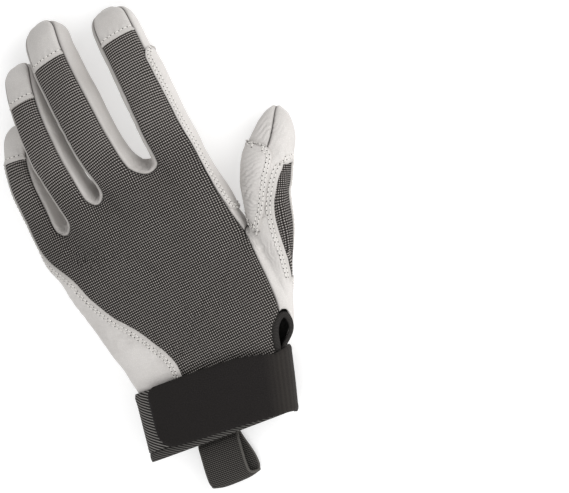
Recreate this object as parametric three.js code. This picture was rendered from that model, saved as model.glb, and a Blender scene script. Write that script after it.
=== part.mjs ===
// A climbing glove for the left hand. It lies palm down with its back up.
// X points to the thumb side, Y to the fingertips and Z up, in millimetres.
// The skin is one cage of four-sided faces, cut along its seams into separate panels.

import * as THREE from 'three';

// Driving sizes of the hand
const KNUCKLE_WIDTH = 104;
const PALM_LENGTH = 109;
const PALM_DEPTH = 31;
const INDEX_LENGTH = 79.5;
const MIDDLE_LENGTH = 87.5;
const RING_LENGTH = 77.5;
const PINKY_LENGTH = 55.5;
const THUMB_LENGTH = 49.5;
const INDEX_WIDTH = 25.5;
const MIDDLE_WIDTH = 26;
const RING_WIDTH = 22;
const PINKY_WIDTH = 19;
const THUMB_WIDTH = 25.5;
const INDEX_DEPTH = 20;
const MIDDLE_DEPTH = 20.5;
const RING_DEPTH = 19;
const PINKY_DEPTH = 16.5;
const THUMB_DEPTH = 21;

// Driving sizes of the leather, cloth, cuff and webbing
const WALL = 1.2;
const GUARD_WALL = 1;
const GUARD_GAP = 0.5;
const SEAM_GAP = 0.3;
const CUFF_WIDTH = 86;
const CUFF_DEPTH = 25;
const CUFF_LENGTH = 35;
const CUFF_WALL = 2;
const CUFF_LAP = 6;
const CUFF_SLIT = 7;
const HEM_HEIGHT = 4.5;
const HEM_WALL = 2.6;
const STRAP_WALL = 1.8;
const STRAP_CORNER = 7;
const STRAP_END = 11;
const STRAP_WRAP = 6;
const STRAP_SETBACK = 0.6;
const STRAP_RISE = 3.5;
const STRAP_DROP = 1.5;
const VENT_BINDING_WIDTH = 3.4;
const VENT_BINDING_WALL = 2;
const VENT_EDGE = 0.5;
const VENT_START = 0.25;
const VENT_SHARE = 0.3;
const WEBBING_WIDTH = 23;
const WEBBING_WALL = 1.5;
const WEBBING_PATCH = 30;
const WEBBING_TUCK = 8;
const TUCK_RISE = 0.9;
const LOOP_REACH = 25;
const LOOP_OPENING = 6;
const LOOP_CENTRE = -9;
const LOOP_RISE = 0.45;

// Counts of faces across the strips
const STRIP = 4;
const WEB = 2;
const HAND = 4 * STRIP + 3 * WEB;
const RING = 4 * STRIP;
const CUFF_SIDES = 56;

// Heights that follow from the webbing under the cuff
const CUFF_FLOOR = WEBBING_WALL + SEAM_GAP;
const CUFF_MIDDLE = CUFF_FLOOR + CUFF_DEPTH / 2;
const HEM_Y = -6;
const CUFF_TOP = HEM_Y + CUFF_LENGTH;

// How square the sections are, and how far the flat of the palm reaches to the little finger
const SHARPNESS = 2.6;
const CUFF_SHARPNESS = 2.5;
const PALM_REACH = 0.8;

// The palm from the cuff to the finger roots. Places across are shares of the knuckle
// width, heights are shares of the palm depth.
const PALM_ROWS = [
  { along: 0.07, ulnar: -0.365, radial: 0.567, low: 0.02, high: 0.87 },
  { along: 0.14, ulnar: -0.373, radial: 0.606, low: 0.01, high: 0.90 },
  { along: 0.24, ulnar: -0.401, radial: 0.635, low: 0.0, high: 0.93 },
  { along: 0.34, ulnar: -0.423, radial: 0.635, low: 0.0, high: 0.95 },
  { along: 0.44, ulnar: -0.440, radial: 0.606, low: 0.02, high: 0.98 },
  { along: 0.53, ulnar: -0.462, radial: 0.510, low: 0.05, high: 1.01 },
  { along: 0.63, ulnar: -0.484, radial: 0.480, low: 0.09, high: 1.05 },
  { along: 0.73, ulnar: -0.500, radial: 0.461, low: 0.13, high: 1.09 },
  { along: 0.83, ulnar: -0.524, radial: 0.450, low: 0.17, high: 1.12 },
  { along: 0.92, ulnar: -0.543, radial: 0.443, low: 0.20, high: 1.13 },
  { along: 1.0, ulnar: -0.558, radial: 0.437, low: 0.22, high: 1.13 },
];
// Where the cloth of the back begins and ends, and where the palm's own columns end towards
// the thumb, as shares of the knuckle width
const PALM_SEAMS = [
  { along: 0.07, backUlnar: -0.045, backRadial: 0.452, palmRadial: 0.12 },
  { along: 0.14, backUlnar: -0.063, backRadial: 0.517, palmRadial: 0.17 },
  { along: 0.24, backUlnar: -0.121, backRadial: 0.520, palmRadial: 0.24 },
  { along: 0.34, backUlnar: -0.171, backRadial: 0.515, palmRadial: 0.31 },
  { along: 0.44, backUlnar: -0.263, backRadial: 0.508, palmRadial: 0.37 },
  { along: 0.53, backUlnar: -0.310, backRadial: 0.490, palmRadial: 0.41 },
  { along: 0.63, backUlnar: -0.359, backRadial: 0.464, palmRadial: 0.42 },
  { along: 0.73, backUlnar: -0.387, backRadial: 0.444, palmRadial: 0.42 },
  { along: 0.83, backUlnar: -0.420, backRadial: 0.430, palmRadial: 0.4 },
  { along: 0.92, backUlnar: -0.463, backRadial: 0.418, palmRadial: 0.385 },
  { along: 1.0, backUlnar: -0.492, backRadial: 0.403, palmRadial: 0.37 },
];

// How much of the finger's own form each of the last palm rows has
const FINGER_BLEND = [
  { along: 0.73, share: 0 },
  { along: 0.83, share: 0.3 },
  { along: 0.92, share: 0.7 },
  { along: 1.0, share: 1 },
];

// Where each digit starts: across as a share of the knuckle width, along as a share of the
// palm length, up as a share of the palm depth. The path's rows are shares of its length.
// Slant and lean set how far the root's line runs forward to the thumb side and to the palm,
// and root how much narrower the digit starts.
const DIGITS = {
  pinky: {
    length: PINKY_LENGTH, width: PINKY_WIDTH, depth: PINKY_DEPTH,
    across: -0.464, along: 0.862, up: 0.55, roll: -16, root: 0.93, slant: 0.3, lean: 0.8,
    cap: 0.66, tip: 0.17, point: 2.2,
    path: [
      { along: 0.2, aside: -0.02, rise: 0.0 },
      { along: 0.42, aside: -0.05, rise: -0.02 },
      { along: 0.66, aside: -0.05, rise: -0.07 },
      { along: 0.85, aside: -0.01, rise: -0.13 },
      { along: 0.99, aside: 0.03, rise: -0.18 },
    ],
  },
  ring: {
    length: RING_LENGTH, width: RING_WIDTH, depth: RING_DEPTH,
    across: -0.250, along: 0.936, up: 0.77, roll: -10, root: 0.9, slant: 0.32, lean: 0.75,
    cap: 0.72, tip: 0.135, point: 2.2,
    path: [
      { along: 0.14, aside: -0.03, rise: 0.0 },
      { along: 0.27, aside: -0.06, rise: -0.01 },
      { along: 0.6, aside: -0.105, rise: -0.06 },
      { along: 0.83, aside: -0.115, rise: -0.14 },
      { along: 0.96, aside: -0.105, rise: -0.2 },
    ],
  },
  middle: {
    length: MIDDLE_LENGTH, width: MIDDLE_WIDTH, depth: MIDDLE_DEPTH,
    across: -0.004, along: 0.991, up: 0.81, roll: -5, root: 0.95, slant: 0.1, lean: 0.5,
    cap: 0.735, tip: 0.13, point: 2.2,
    path: [
      { along: 0.17, aside: -0.045, rise: 0.0 },
      { along: 0.48, aside: -0.1, rise: -0.03 },
      { along: 0.745, aside: -0.152, rise: -0.1 },
      { along: 0.88, aside: -0.168, rise: -0.155 },
      { along: 0.955, aside: -0.172, rise: -0.19 },
    ],
  },
  index: {
    length: INDEX_LENGTH, width: INDEX_WIDTH, depth: INDEX_DEPTH,
    across: 0.303, along: 1.0, up: 0.71, roll: 13, root: 0.97, slant: 0.0, lean: 0.45,
    cap: 0.765, tip: 0.13, point: 2.3,
    path: [
      { along: 0.17, aside: -0.025, rise: 0.0 },
      { along: 0.51, aside: -0.06, rise: -0.04 },
      { along: 0.745, aside: -0.11, rise: -0.1 },
      { along: 0.88, aside: -0.14, rise: -0.15 },
      { along: 0.965, aside: -0.155, rise: -0.185 },
    ],
  },
  thumb: {
    length: THUMB_LENGTH, width: THUMB_WIDTH, depth: THUMB_DEPTH,
    across: 0.620, along: 0.585, up: 0.47, roll: 6, root: 0.84, slant: 0.35, lean: 0.25,
    cap: 0.7, tip: 0.5, point: 1.75,
    path: [
      { along: 0.26, aside: 0.07, rise: -0.01 },
      { along: 0.47, aside: 0.165, rise: -0.03 },
      { along: 0.64, aside: 0.28, rise: -0.06 },
      { along: 0.79, aside: 0.36, rise: -0.09 },
      { along: 0.94, aside: 0.42, rise: -0.12 },
    ],
  },
};
const FINGER_ORDER = ['pinky', 'ring', 'middle', 'index'];

// A digit's width and depth along it, as shares of its own, before the tip is rounded
const DIGIT_FORM = [
  { at: 0, width: 1.0, depth: 1.0 },
  { at: 0.25, width: 0.97, depth: 0.98 },
  { at: 0.5, width: 0.95, depth: 0.96 },
  { at: 0.75, width: 0.93, depth: 0.9 },
  { at: 1, width: 0.88, depth: 0.8 },
];
// Where the rings of a digit's cap lie, as shares of the stretch from the cap's seam to the tip
const CAP_RINGS = [0.35, 0.65, 0.85, 0.96];
const SHAFT_RINGS = 6;
const BACK_CORNER = 42;
const PALM_CORNER = 48;
const TIP_PUSH = 0.018;
const ROOT_FADE = 0.3;
const WEB_DIP = 0.04;

// The cuff's upper edge round the wrist: angle from the thumb side over the back, and how
// far the edge lies below the top, as a share of the cuff's length
const CUFF_EDGE = [
  { angle: -180, drop: 0.0 },
  { angle: -130, drop: 0.07 },
  { angle: -90, drop: 0.14 },
  { angle: -45, drop: 0.08 },
  { angle: -15, drop: 0.12 },
  { angle: 30, drop: 0.17 },
  { angle: 70, drop: 0.03 },
  { angle: 100, drop: 0.0 },
  { angle: 180, drop: 0.0 },
];
const CUFF_SKEW = 0.2;
const CUFF_FLARE = 0.94;
const CUFF_CENTRE = 4.6;
const CUFF_CLEAR = 0.5;
const THUMB_LEAN = 0.15;
const REST_SOFT = 1.2;

// Where the columns of the skin meet the wrist, as angles round it
const WRIST_SEAM_ULNAR = 100;
const WRIST_SEAM_RADIAL = 24;
const THUMB_WRIST_ANGLES = [1, -5, -11, -18, -25, -33, -42, -52, -62, -73, -83, -86, -89];
const WRIST_WEB_ANGLE = -92;
// How far the heel of the thumb stands out over the straight run to the wrist, as a share of
// the thumb's width, up along it, and how much of that each column takes round the thumb
const THUMB_HEEL = [
  { share: 0, out: 0, up: 0 },
  { share: 0.13, out: 0.39, up: 0.14 },
  { share: 0.26, out: 0.44, up: 0.24 },
  { share: 0.45, out: 0.38, up: 0.2 },
  { share: 0.64, out: 0.26, up: 0.12 },
  { share: 0.83, out: 0.11, up: 0.05 },
  { share: 1, out: 0, up: 0 },
];
const HEEL_ROUND = [
  { k: 0, share: 1 },
  { k: 4, share: 0.9 },
  { k: 8, share: 0.35 },
  { k: 10, share: 0 },
];
const PALM_WRIST_RADIAL = -95;
const PALM_WRIST_ULNAR = -140;

const radians = THREE.MathUtils.degToRad;
const lerp = THREE.MathUtils.lerp;
const vec = (x, y, z) => new THREE.Vector3(x, y, z);
const mix = (a, b, share) => a.clone().lerp(b, share);

function power(value, exponent) {
  return Math.sign(value) * Math.abs(value) ** exponent;
}

// Reads a column of a table between its rows
function look(table, key, at, column) {
  const last = table.length - 1;
  if (at <= table[0][key]) return table[0][column];
  if (at >= table[last][key]) return table[last][column];
  const upper = table.findIndex((row) => row[key] >= at);
  const low = table[upper - 1];
  const high = table[upper];
  return lerp(low[column], high[column], (at - low[key]) / (high[key] - low[key]));
}

function smooth(value) {
  const clamped = Math.min(1, Math.max(0, value));
  return clamped * clamped * (3 - 2 * clamped);
}

// Keeps the underside flat where it rests
function rest(point) {
  const deep = REST_SOFT - point.z;
  if (deep > 0) point.z = REST_SOFT - (REST_SOFT * deep) / (REST_SOFT + deep);
  return point;
}

// The cuff and the wrist share one rounded section
function cuffPoint(angle, y, out) {
  const share = (CUFF_TOP - y) / CUFF_LENGTH;
  const half = (CUFF_WIDTH / 2) * lerp(1, CUFF_FLARE, share);
  const cos = Math.cos(radians(angle));
  const sin = Math.sin(radians(angle));
  const x = half * power(cos, 2 / CUFF_SHARPNESS);
  const z = (CUFF_DEPTH / 2) * power(sin, 2 / CUFF_SHARPNESS);
  const steep = 2 - 2 / CUFF_SHARPNESS;
  const normal = vec(power(cos, steep) / half, 0, (power(sin, steep) * 2) / CUFF_DEPTH).normalize();
  const centre = CUFF_CENTRE - CUFF_SKEW * (CUFF_TOP - y);
  return vec(centre + x + normal.x * out, y, CUFF_MIDDLE + z + normal.z * out);
}

function cuffEdge(angle) {
  const turned = ((((angle + 180) % 360) + 360) % 360) - 180;
  return CUFF_TOP - CUFF_LENGTH * look(CUFF_EDGE, 'angle', turned, 'drop');
}

// Every digit's path and frame
function prepareDigit(name) {
  const digit = DIGITS[name];
  const base = vec(
    digit.across * KNUCKLE_WIDTH,
    CUFF_TOP + digit.along * PALM_LENGTH - 1,
    digit.up * PALM_DEPTH,
  );
  const points = digit.path.map((row) => base.clone().add(
    vec(row.aside * digit.length, row.along * digit.length, row.rise * digit.length),
  ));
  const curve = new THREE.CatmullRomCurve3([base, ...points], false, 'centripetal');
  return { ...digit, name, base, curve, reach: curve.getLength() };
}

function digitFrame(digit, at) {
  const centre = digit.curve.getPointAt(at);
  const ahead = digit.curve.getTangentAt(at);
  const side = ahead.clone().cross(vec(0, 0, 1)).normalize();
  const up = side.clone().cross(ahead).normalize();
  side.applyAxisAngle(ahead, radians(digit.roll));
  up.applyAxisAngle(ahead, radians(digit.roll));
  return { centre, ahead, side, up };
}

// The angle of each of the ring's points, from the back's little-finger corner round
function ringAngle(k) {
  const step = k % STRIP;
  const quarter = Math.floor(k / STRIP);
  const starts = [180 - BACK_CORNER, BACK_CORNER, -PALM_CORNER, PALM_CORNER - 180];
  const ends = [BACK_CORNER, -PALM_CORNER, PALM_CORNER - 180, -180 - BACK_CORNER];
  return lerp(starts[quarter], ends[quarter], step / STRIP);
}

function digitRing(digit, at) {
  const { centre, ahead, side, up } = digitFrame(digit, at);
  const fromTip = Math.min(1, (1 - at) / digit.tip);
  const round = (1 - (1 - fromTip) ** digit.point) ** (1 / digit.point);
  const fade = smooth(1 - at / ROOT_FADE);
  const pinch = lerp(1, digit.root, fade);
  const halfWidth = (digit.width / 2) * look(DIGIT_FORM, 'at', at, 'width') * round * pinch;
  const halfDepth = (digit.depth / 2) * look(DIGIT_FORM, 'at', at, 'depth') * round;
  return Array.from({ length: RING }, (_, k) => {
    const angle = radians(ringAngle(k));
    const s = halfWidth * power(Math.cos(angle), 2 / SHARPNESS);
    const n = halfDepth * power(Math.sin(angle), 2 / SHARPNESS);
    const forward = fade * (digit.slant * s - digit.lean * n);
    return centre.clone().addScaledVector(side, s).addScaledVector(up, n).addScaledVector(ahead, forward);
  });
}

function digitStations(digit) {
  const stations = [];
  for (let i = 0; i < SHAFT_RINGS; i += 1) stations.push((digit.cap * i) / SHAFT_RINGS);
  stations.push(digit.cap);
  CAP_RINGS.forEach((share) => stations.push(lerp(digit.cap, 1, share)));
  return stations;
}

// The whole skin as points, four-sided faces and the panel that each face belongs to
const points = [];
const faces = [];

function addPoint(point) {
  points.push(rest(point));
  return points.length - 1;
}

function addFace(panel, a, b, c, d, place = {}) {
  faces.push({ panel, corners: [d, c, b, a], ...place });
}

const fingers = FINGER_ORDER.map(prepareDigit);
const thumb = prepareDigit('thumb');
const fingerStart = fingers.map((_, i) => i * (STRIP + WEB));

// The roots of the fingers: one point for each column of the back and of the palm
function rootRow(rings, corner, step) {
  const row = [];
  rings.forEach((ring, i) => {
    for (let k = 0; k <= STRIP; k += 1) row.push(ring[(corner + step * k + RING) % RING].clone());
    if (i === rings.length - 1) return;
    const left = ring[(corner + step * STRIP + RING) % RING];
    const right = rings[i + 1][(corner + RING) % RING];
    const middle = mix(left, right, 0.5);
    middle.y -= WEB_DIP * PALM_LENGTH;
    row.push(middle);
  });
  return row;
}

const rootRings = fingers.map((finger) => digitRing(finger, 0));
const backRoots = rootRow(rootRings, 0, 1);
const palmRoots = rootRow(rootRings, 3 * STRIP, -1);

function rowForm(along) {
  const value = (column) => look(PALM_ROWS, 'along', along, column);
  const seam = (column) => look(PALM_SEAMS, 'along', along, column) * KNUCKLE_WIDTH;
  const ulnar = value('ulnar') * KNUCKLE_WIDTH;
  const radial = value('radial') * KNUCKLE_WIDTH;
  const low = value('low') * PALM_DEPTH;
  const high = value('high') * PALM_DEPTH;
  return {
    centre: (ulnar + radial) / 2,
    half: (radial - ulnar) / 2,
    middle: (low + high) / 2,
    deep: (high - low) / 2,
    backUlnar: seam('backUlnar'),
    backRadial: seam('backRadial'),
    palmRadial: seam('palmRadial'),
  };
}

// The angle on the section whose place across is x
function sectionAngle(form, x) {
  const share = THREE.MathUtils.clamp((x - form.centre) / form.half, -1, 1);
  return Math.acos(power(share, SHARPNESS / 2));
}

function sectionPoint(form, angle, y) {
  const x = form.centre + form.half * power(Math.cos(angle), 2 / SHARPNESS);
  const z = form.middle + form.deep * power(Math.sin(angle), 2 / SHARPNESS);
  return vec(x, y, z);
}

// A column's place at one height of the palm, before the fingers' own form takes over
function handRow(along) {
  const form = rowForm(along);
  const spread = smooth(along);
  const blend = look(FINGER_BLEND, 'along', along, 'share');
  const place = (roots, column, from, to, sign) => {
    const first = roots[0].x;
    const last = roots[HAND].x;
    const share = lerp(column / HAND, (roots[column].x - first) / (last - first), spread);
    const x = lerp(from, to, share);
    const y = lerp(CUFF_TOP, roots[column].y, along);
    const onSection = sectionPoint(form, sign * sectionAngle(form, x), y);
    const finger = Math.min(fingers.length - 1, Math.floor(column / (STRIP + WEB)));
    const ahead = digitFrame(fingers[finger], 0).ahead;
    const behind = roots[column].clone().addScaledVector(ahead, -(roots[column].y - y) / ahead.y);
    return mix(onSection, behind, blend);
  };
  const palmUlnar = form.centre - form.half * PALM_REACH;
  const back = backRoots.map((_, c) => place(backRoots, c, form.backUlnar, form.backRadial, 1));
  const palm = palmRoots.map((_, c) => place(palmRoots, c, palmUlnar, form.palmRadial, -1));
  const around = (top, bottom, ringPoints, turn) => {
    const side = [];
    const start = turn(sectionAngle(form, top.x), 1);
    const end = turn(sectionAngle(form, bottom.x), -1);
    for (let k = 1; k < STRIP; k += 1) {
      const share = k / STRIP;
      const y = lerp(top.y, bottom.y, share);
      const onSection = sectionPoint(form, lerp(start, end, share), y);
      const root = ringPoints[k - 1].clone();
      root.y = y;
      side.push(mix(onSection, root, blend));
    }
    return side;
  };
  const pinkyRing = rootRings[0];
  const indexRing = rootRings[fingers.length - 1];
  const ulnarRoots = pinkyRing.slice(3 * STRIP + 1).reverse();
  const radialRoots = indexRing.slice(STRIP + 1, 2 * STRIP);
  const ulnarTurn = (angle, sign) => (sign > 0 ? angle : 2 * Math.PI - angle);
  const radialTurn = (angle, sign) => sign * angle;
  return {
    back,
    palm,
    ulnar: around(back[0], palm[0], ulnarRoots, ulnarTurn),
    radial: around(back[HAND], palm[HAND], radialRoots, radialTurn),
  };
}

// The wrist's two rows lie inside the cuff
function wristRow(below) {
  const inset = -(CUFF_WALL + SEAM_GAP);
  const at = (angle) => cuffPoint(angle, cuffEdge(angle) - below, inset);
  const range = (from, to, count) => Array.from(
    { length: count + 1 },
    (_, i) => at(lerp(from, to, i / count)),
  );
  const ulnarTo = 360 + PALM_WRIST_ULNAR;
  return {
    back: range(WRIST_SEAM_ULNAR, WRIST_SEAM_RADIAL, HAND),
    backWeb: at((WRIST_SEAM_RADIAL + THUMB_WRIST_ANGLES[0]) / 2),
    thumb: THUMB_WRIST_ANGLES.map(at),
    palmWeb: at(WRIST_WEB_ANGLE),
    palm: range(PALM_WRIST_ULNAR, PALM_WRIST_RADIAL, HAND),
    ulnar: range(WRIST_SEAM_ULNAR, ulnarTo, STRIP).slice(1, STRIP),
  };
}

const FORK_ROW = 0.53;
const thumbRing = digitRing(thumb, 0);
const forkHand = handRow(FORK_ROW);
const forkBackWeb = mix(forkHand.back[HAND], thumbRing[0], 0.5);
const forkPalmWeb = mix(forkHand.palm[HAND], thumbRing[3 * STRIP], 0.5);
forkBackWeb.y -= WEB_DIP * PALM_LENGTH * 0.5;

// Below the fork the thumb's columns run in smooth curves down to the wrist
function thumbRow(along) {
  const wrist = wristRow(-CUFF_CLEAR);
  const share = along / FORK_ROW;
  const run = (from, to, ahead) => {
    const length = from.distanceTo(to);
    const rise = vec(THUMB_LEAN, 1, 0).multiplyScalar(length);
    const lead = ahead.clone().multiplyScalar(length);
    const s = share;
    const point = from.clone().multiplyScalar(2 * s ** 3 - 3 * s ** 2 + 1);
    point.addScaledVector(rise, s ** 3 - 2 * s ** 2 + s);
    point.addScaledVector(to, -2 * s ** 3 + 3 * s ** 2);
    point.addScaledVector(lead, s ** 3 - s ** 2);
    return point;
  };
  const heel = look(THUMB_HEEL, 'share', share, 'out') * THUMB_WIDTH;
  const lift = look(THUMB_HEEL, 'share', share, 'up') * THUMB_WIDTH;
  const ahead = digitFrame(thumb, 0).ahead;
  const hand = handRow(along);
  const thumbPoints = wrist.thumb.map((from, k) => {
    const point = run(from, thumbRing[k], ahead);
    point.x += heel * look(HEEL_ROUND, 'k', k, 'share');
    point.z += lift * look(HEEL_ROUND, 'k', 2 * k, 'share');
    return point;
  });
  return {
    backWeb: mix(hand.back[HAND], thumbPoints[0], 0.5),
    thumb: thumbPoints,
    palmWeb: mix(hand.palm[HAND], thumbPoints[3 * STRIP], 0.5),
  };
}

// Closed rows of points, from the cuff up to the fork of the thumb, then up to the fingers
const index = (list) => list.map(addPoint);

function storeLowRow(hand, low) {
  return {
    back: index(hand.back),
    backWeb: addPoint(low.backWeb),
    thumb: index(low.thumb),
    palmWeb: addPoint(low.palmWeb),
    palm: index(hand.palm),
    ulnar: index(hand.ulnar),
  };
}

const lowRows = [CUFF_LAP, -CUFF_CLEAR].map((below) => {
  const wrist = wristRow(below);
  return storeLowRow(wrist, wrist);
});
const palmAlongs = PALM_ROWS.map((row) => row.along);
palmAlongs.filter((along) => along < FORK_ROW).forEach((along) => {
  lowRows.push(storeLowRow(handRow(along), thumbRow(along)));
});
const forkRow = {
  back: index(forkHand.back),
  backWeb: addPoint(forkBackWeb),
  thumb: index(thumbRing.slice(0, 3 * STRIP + 1)),
  palmWeb: addPoint(forkPalmWeb),
  palm: index(forkHand.palm),
  ulnar: index(forkHand.ulnar),
  radial: index(forkHand.radial),
  inner: index(thumbRing.slice(3 * STRIP + 1)),
};
lowRows.push(forkRow);

const highRows = [forkRow];
palmAlongs.filter((along) => along > FORK_ROW).forEach((along) => {
  const hand = handRow(along);
  highRows.push({
    back: index(hand.back),
    palm: index(hand.palm),
    ulnar: index(hand.ulnar),
    radial: index(hand.radial),
  });
});

// Faces between two rows run from one list of points to the next
function joinRows(low, high, panelOf, part, row) {
  for (let i = 0; i + 1 < low.length; i += 1) {
    const panel = panelOf(i);
    if (panel) addFace(panel, low[i + 1], low[i], high[i], high[i + 1], { part, row, column: i });
  }
}

const VENT_ROWS = 3;
const PATCH_FIRST = 4;
const PATCH_COLUMNS = [3, 4, 5];
const THUMB_OUTER_COLUMNS = 2.5 * STRIP;
lowRows.slice(0, -1).forEach((low, row) => {
  const high = lowRows[row + 1];
  const backThenThumb = (r) => [...r.back.slice(HAND), r.backWeb, ...r.thumb, r.palmWeb, r.palm[HAND]];
  const ulnarSide = (r) => [r.palm[0], ...[...r.ulnar].reverse(), r.back[0]];
  joinRows(low.back, high.back, () => 'back_panel', 'low_back', row);
  joinRows([...low.palm].reverse(), [...high.palm].reverse(), () => 'palm_panel', 'low_palm', row);
  joinRows(ulnarSide(low), ulnarSide(high), () => 'pinky_side', 'low_ulnar', row);
  joinRows(backThenThumb(low), backThenThumb(high), (i) => {
    if (i < WEB) return row < VENT_ROWS ? null : 'thumb_outer';
    const column = i - WEB;
    if (row >= PATCH_FIRST && PATCH_COLUMNS.includes(column)) return 'thumb_patch';
    return column < THUMB_OUTER_COLUMNS ? 'thumb_outer' : 'palm_panel';
  }, 'low_thumb', row);
});
highRows.slice(0, -1).forEach((low, row) => {
  const high = highRows[row + 1];
  const ulnarSide = (r) => [r.palm[0], ...[...r.ulnar].reverse(), r.back[0]];
  const radialSide = (r) => [r.back[HAND], ...r.radial, r.palm[HAND]];
  joinRows(low.back, high.back, () => 'back_panel', 'back', row);
  joinRows([...low.palm].reverse(), [...high.palm].reverse(), () => 'palm_panel', 'palm', row);
  joinRows(ulnarSide(low), ulnarSide(high), () => 'pinky_side', 'ulnar', row);
  joinRows(radialSide(low), radialSide(high), () => 'index_side', 'radial', row);
});

// A fork is a patch between the side walls of two neighbours
function addFork(left, middle, right, panel) {
  for (let k = 0; k < STRIP; k += 1) {
    addFace(panel, left[k], left[k + 1], middle[k + 1], middle[k], { part: 'fork_left' });
    addFace(panel, middle[k], middle[k + 1], right[k + 1], right[k], { part: 'fork_right' });
  }
}

function forkMiddle(top, bottom, left, right) {
  const column = [top];
  for (let k = 1; k < STRIP; k += 1) {
    const share = k / STRIP;
    const straight = mix(points[top], points[bottom], share);
    const between = mix(points[left[k]], points[right[k]], 0.5);
    between.y = straight.y;
    column.push(addPoint(between));
  }
  column.push(bottom);
  return column;
}

// A digit grows ring by ring from its root and ends in a rounded patch
function growDigit(digit, root, panelOf) {
  let low = root;
  const stations = digitStations(digit);
  stations.slice(1).forEach((at, i) => {
    const high = index(digitRing(digit, at));
    for (let k = 0; k < RING; k += 1) {
      const next = (k + 1) % RING;
      const place = { part: digit.name, row: i, column: k };
      addFace(panelOf(k, i, false), low[next], low[k], high[k], high[next], place);
    }
    low = high;
  });
  closeTip(digit, low, panelOf);
}

function closeTip(digit, ring, panelOf) {
  const size = STRIP + 1;
  const { ahead } = digitFrame(digit, 1);
  const grid = Array.from({ length: size }, () => new Array(size));
  for (let i = 0; i < size; i += 1) {
    grid[STRIP][i] = ring[i];
    grid[STRIP - i][STRIP] = ring[STRIP + i];
    grid[0][STRIP - i] = ring[2 * STRIP + i];
    grid[i][0] = ring[(3 * STRIP + i) % RING];
  }
  const corner = (j, i) => points[grid[j][i]];
  for (let j = 1; j < STRIP; j += 1) {
    for (let i = 1; i < STRIP; i += 1) {
      const u = i / STRIP;
      const v = j / STRIP;
      const across = mix(corner(j, 0), corner(j, STRIP), u);
      const upward = mix(corner(0, i), corner(STRIP, i), v);
      const low = mix(corner(0, 0), corner(0, STRIP), u);
      const high = mix(corner(STRIP, 0), corner(STRIP, STRIP), u);
      const point = across.add(upward).sub(mix(low, high, v));
      const bulge = 4 * Math.sqrt(u * (1 - u) * v * (1 - v));
      point.addScaledVector(ahead, bulge * digit.length * TIP_PUSH);
      grid[j][i] = addPoint(point);
    }
  }
  for (let j = 0; j < STRIP; j += 1) {
    for (let i = 0; i < STRIP; i += 1) {
      const panel = panelOf(i, j, true);
      const corners = [grid[j][i], grid[j][i + 1], grid[j + 1][i + 1], grid[j + 1][i]];
      addFace(panel, ...corners, { part: `${digit.name}_tip` });
    }
  }
}

const topRow = highRows[highRows.length - 1];
const fingerRoots = fingers.map((finger, f) => {
  const start = fingerStart[f];
  const ring = rootRings[f];
  const radial = f === fingers.length - 1 ? topRow.radial : index(ring.slice(STRIP + 1, 2 * STRIP));
  const ulnar = f === 0 ? [...topRow.ulnar].reverse() : index(ring.slice(3 * STRIP + 1));
  const back = topRow.back.slice(start, start + STRIP + 1);
  const palm = topRow.palm.slice(start, start + STRIP + 1).reverse();
  return [...back, ...radial, ...palm, ...ulnar];
});

const sideNames = [
  'pinky_side',
  'fourchette_ring_pinky',
  'fourchette_middle_ring',
  'fourchette_index_middle',
  'index_side',
];
fingers.forEach((finger, f) => {
  growDigit(finger, fingerRoots[f], (k, row, tip) => {
    if (tip) return row >= STRIP / 2 ? `cap_${finger.name}` : 'palm_panel';
    if (k < STRIP) return row < SHAFT_RINGS ? 'back_panel' : `cap_${finger.name}`;
    if (k < 2 * STRIP) return sideNames[f + 1];
    return k < 3 * STRIP ? 'palm_panel' : sideNames[f];
  });
});
for (let f = 0; f + 1 < fingers.length; f += 1) {
  const left = fingerRoots[f].slice(STRIP, 2 * STRIP + 1);
  const right = [fingerRoots[f + 1][0], ...fingerRoots[f + 1].slice(3 * STRIP).reverse()];
  const web = fingerStart[f] + STRIP + 1;
  addFork(left, forkMiddle(topRow.back[web], topRow.palm[web], left, right), right, sideNames[f + 1]);
}

const PATCH_TOP_RING = 4;
growDigit(thumb, [...forkRow.thumb, ...forkRow.inner], (k, row, tip) => {
  const half = STRIP / 2;
  if (tip) return k >= half ? 'thumb_outer' : 'palm_panel';
  if (row < PATCH_TOP_RING && PATCH_COLUMNS.includes(k)) return 'thumb_patch';
  return k >= half && k < 2 * STRIP + half ? 'thumb_outer' : 'palm_panel';
});
const thumbLeft = [forkRow.back[HAND], ...forkRow.radial, forkRow.palm[HAND]];
const thumbRight = [forkRow.thumb[0], ...[...forkRow.inner].reverse(), forkRow.thumb[3 * STRIP]];
const thumbMiddle = forkMiddle(forkRow.backWeb, forkRow.palmWeb, thumbLeft, thumbRight);
addFork(thumbLeft, thumbMiddle, thumbRight, 'palm_panel');

// Normals of the whole skin, so that neighbouring panels keep parallel edges
const normals = points.map(() => vec(0, 0, 0));
faces.forEach(({ corners }) => {
  const [a, b, c, d] = corners.map((i) => points[i]);
  const area = c.clone().sub(a).cross(d.clone().sub(b));
  corners.forEach((i) => normals[i].add(area));
});
normals.forEach((normal) => normal.normalize());

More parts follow.
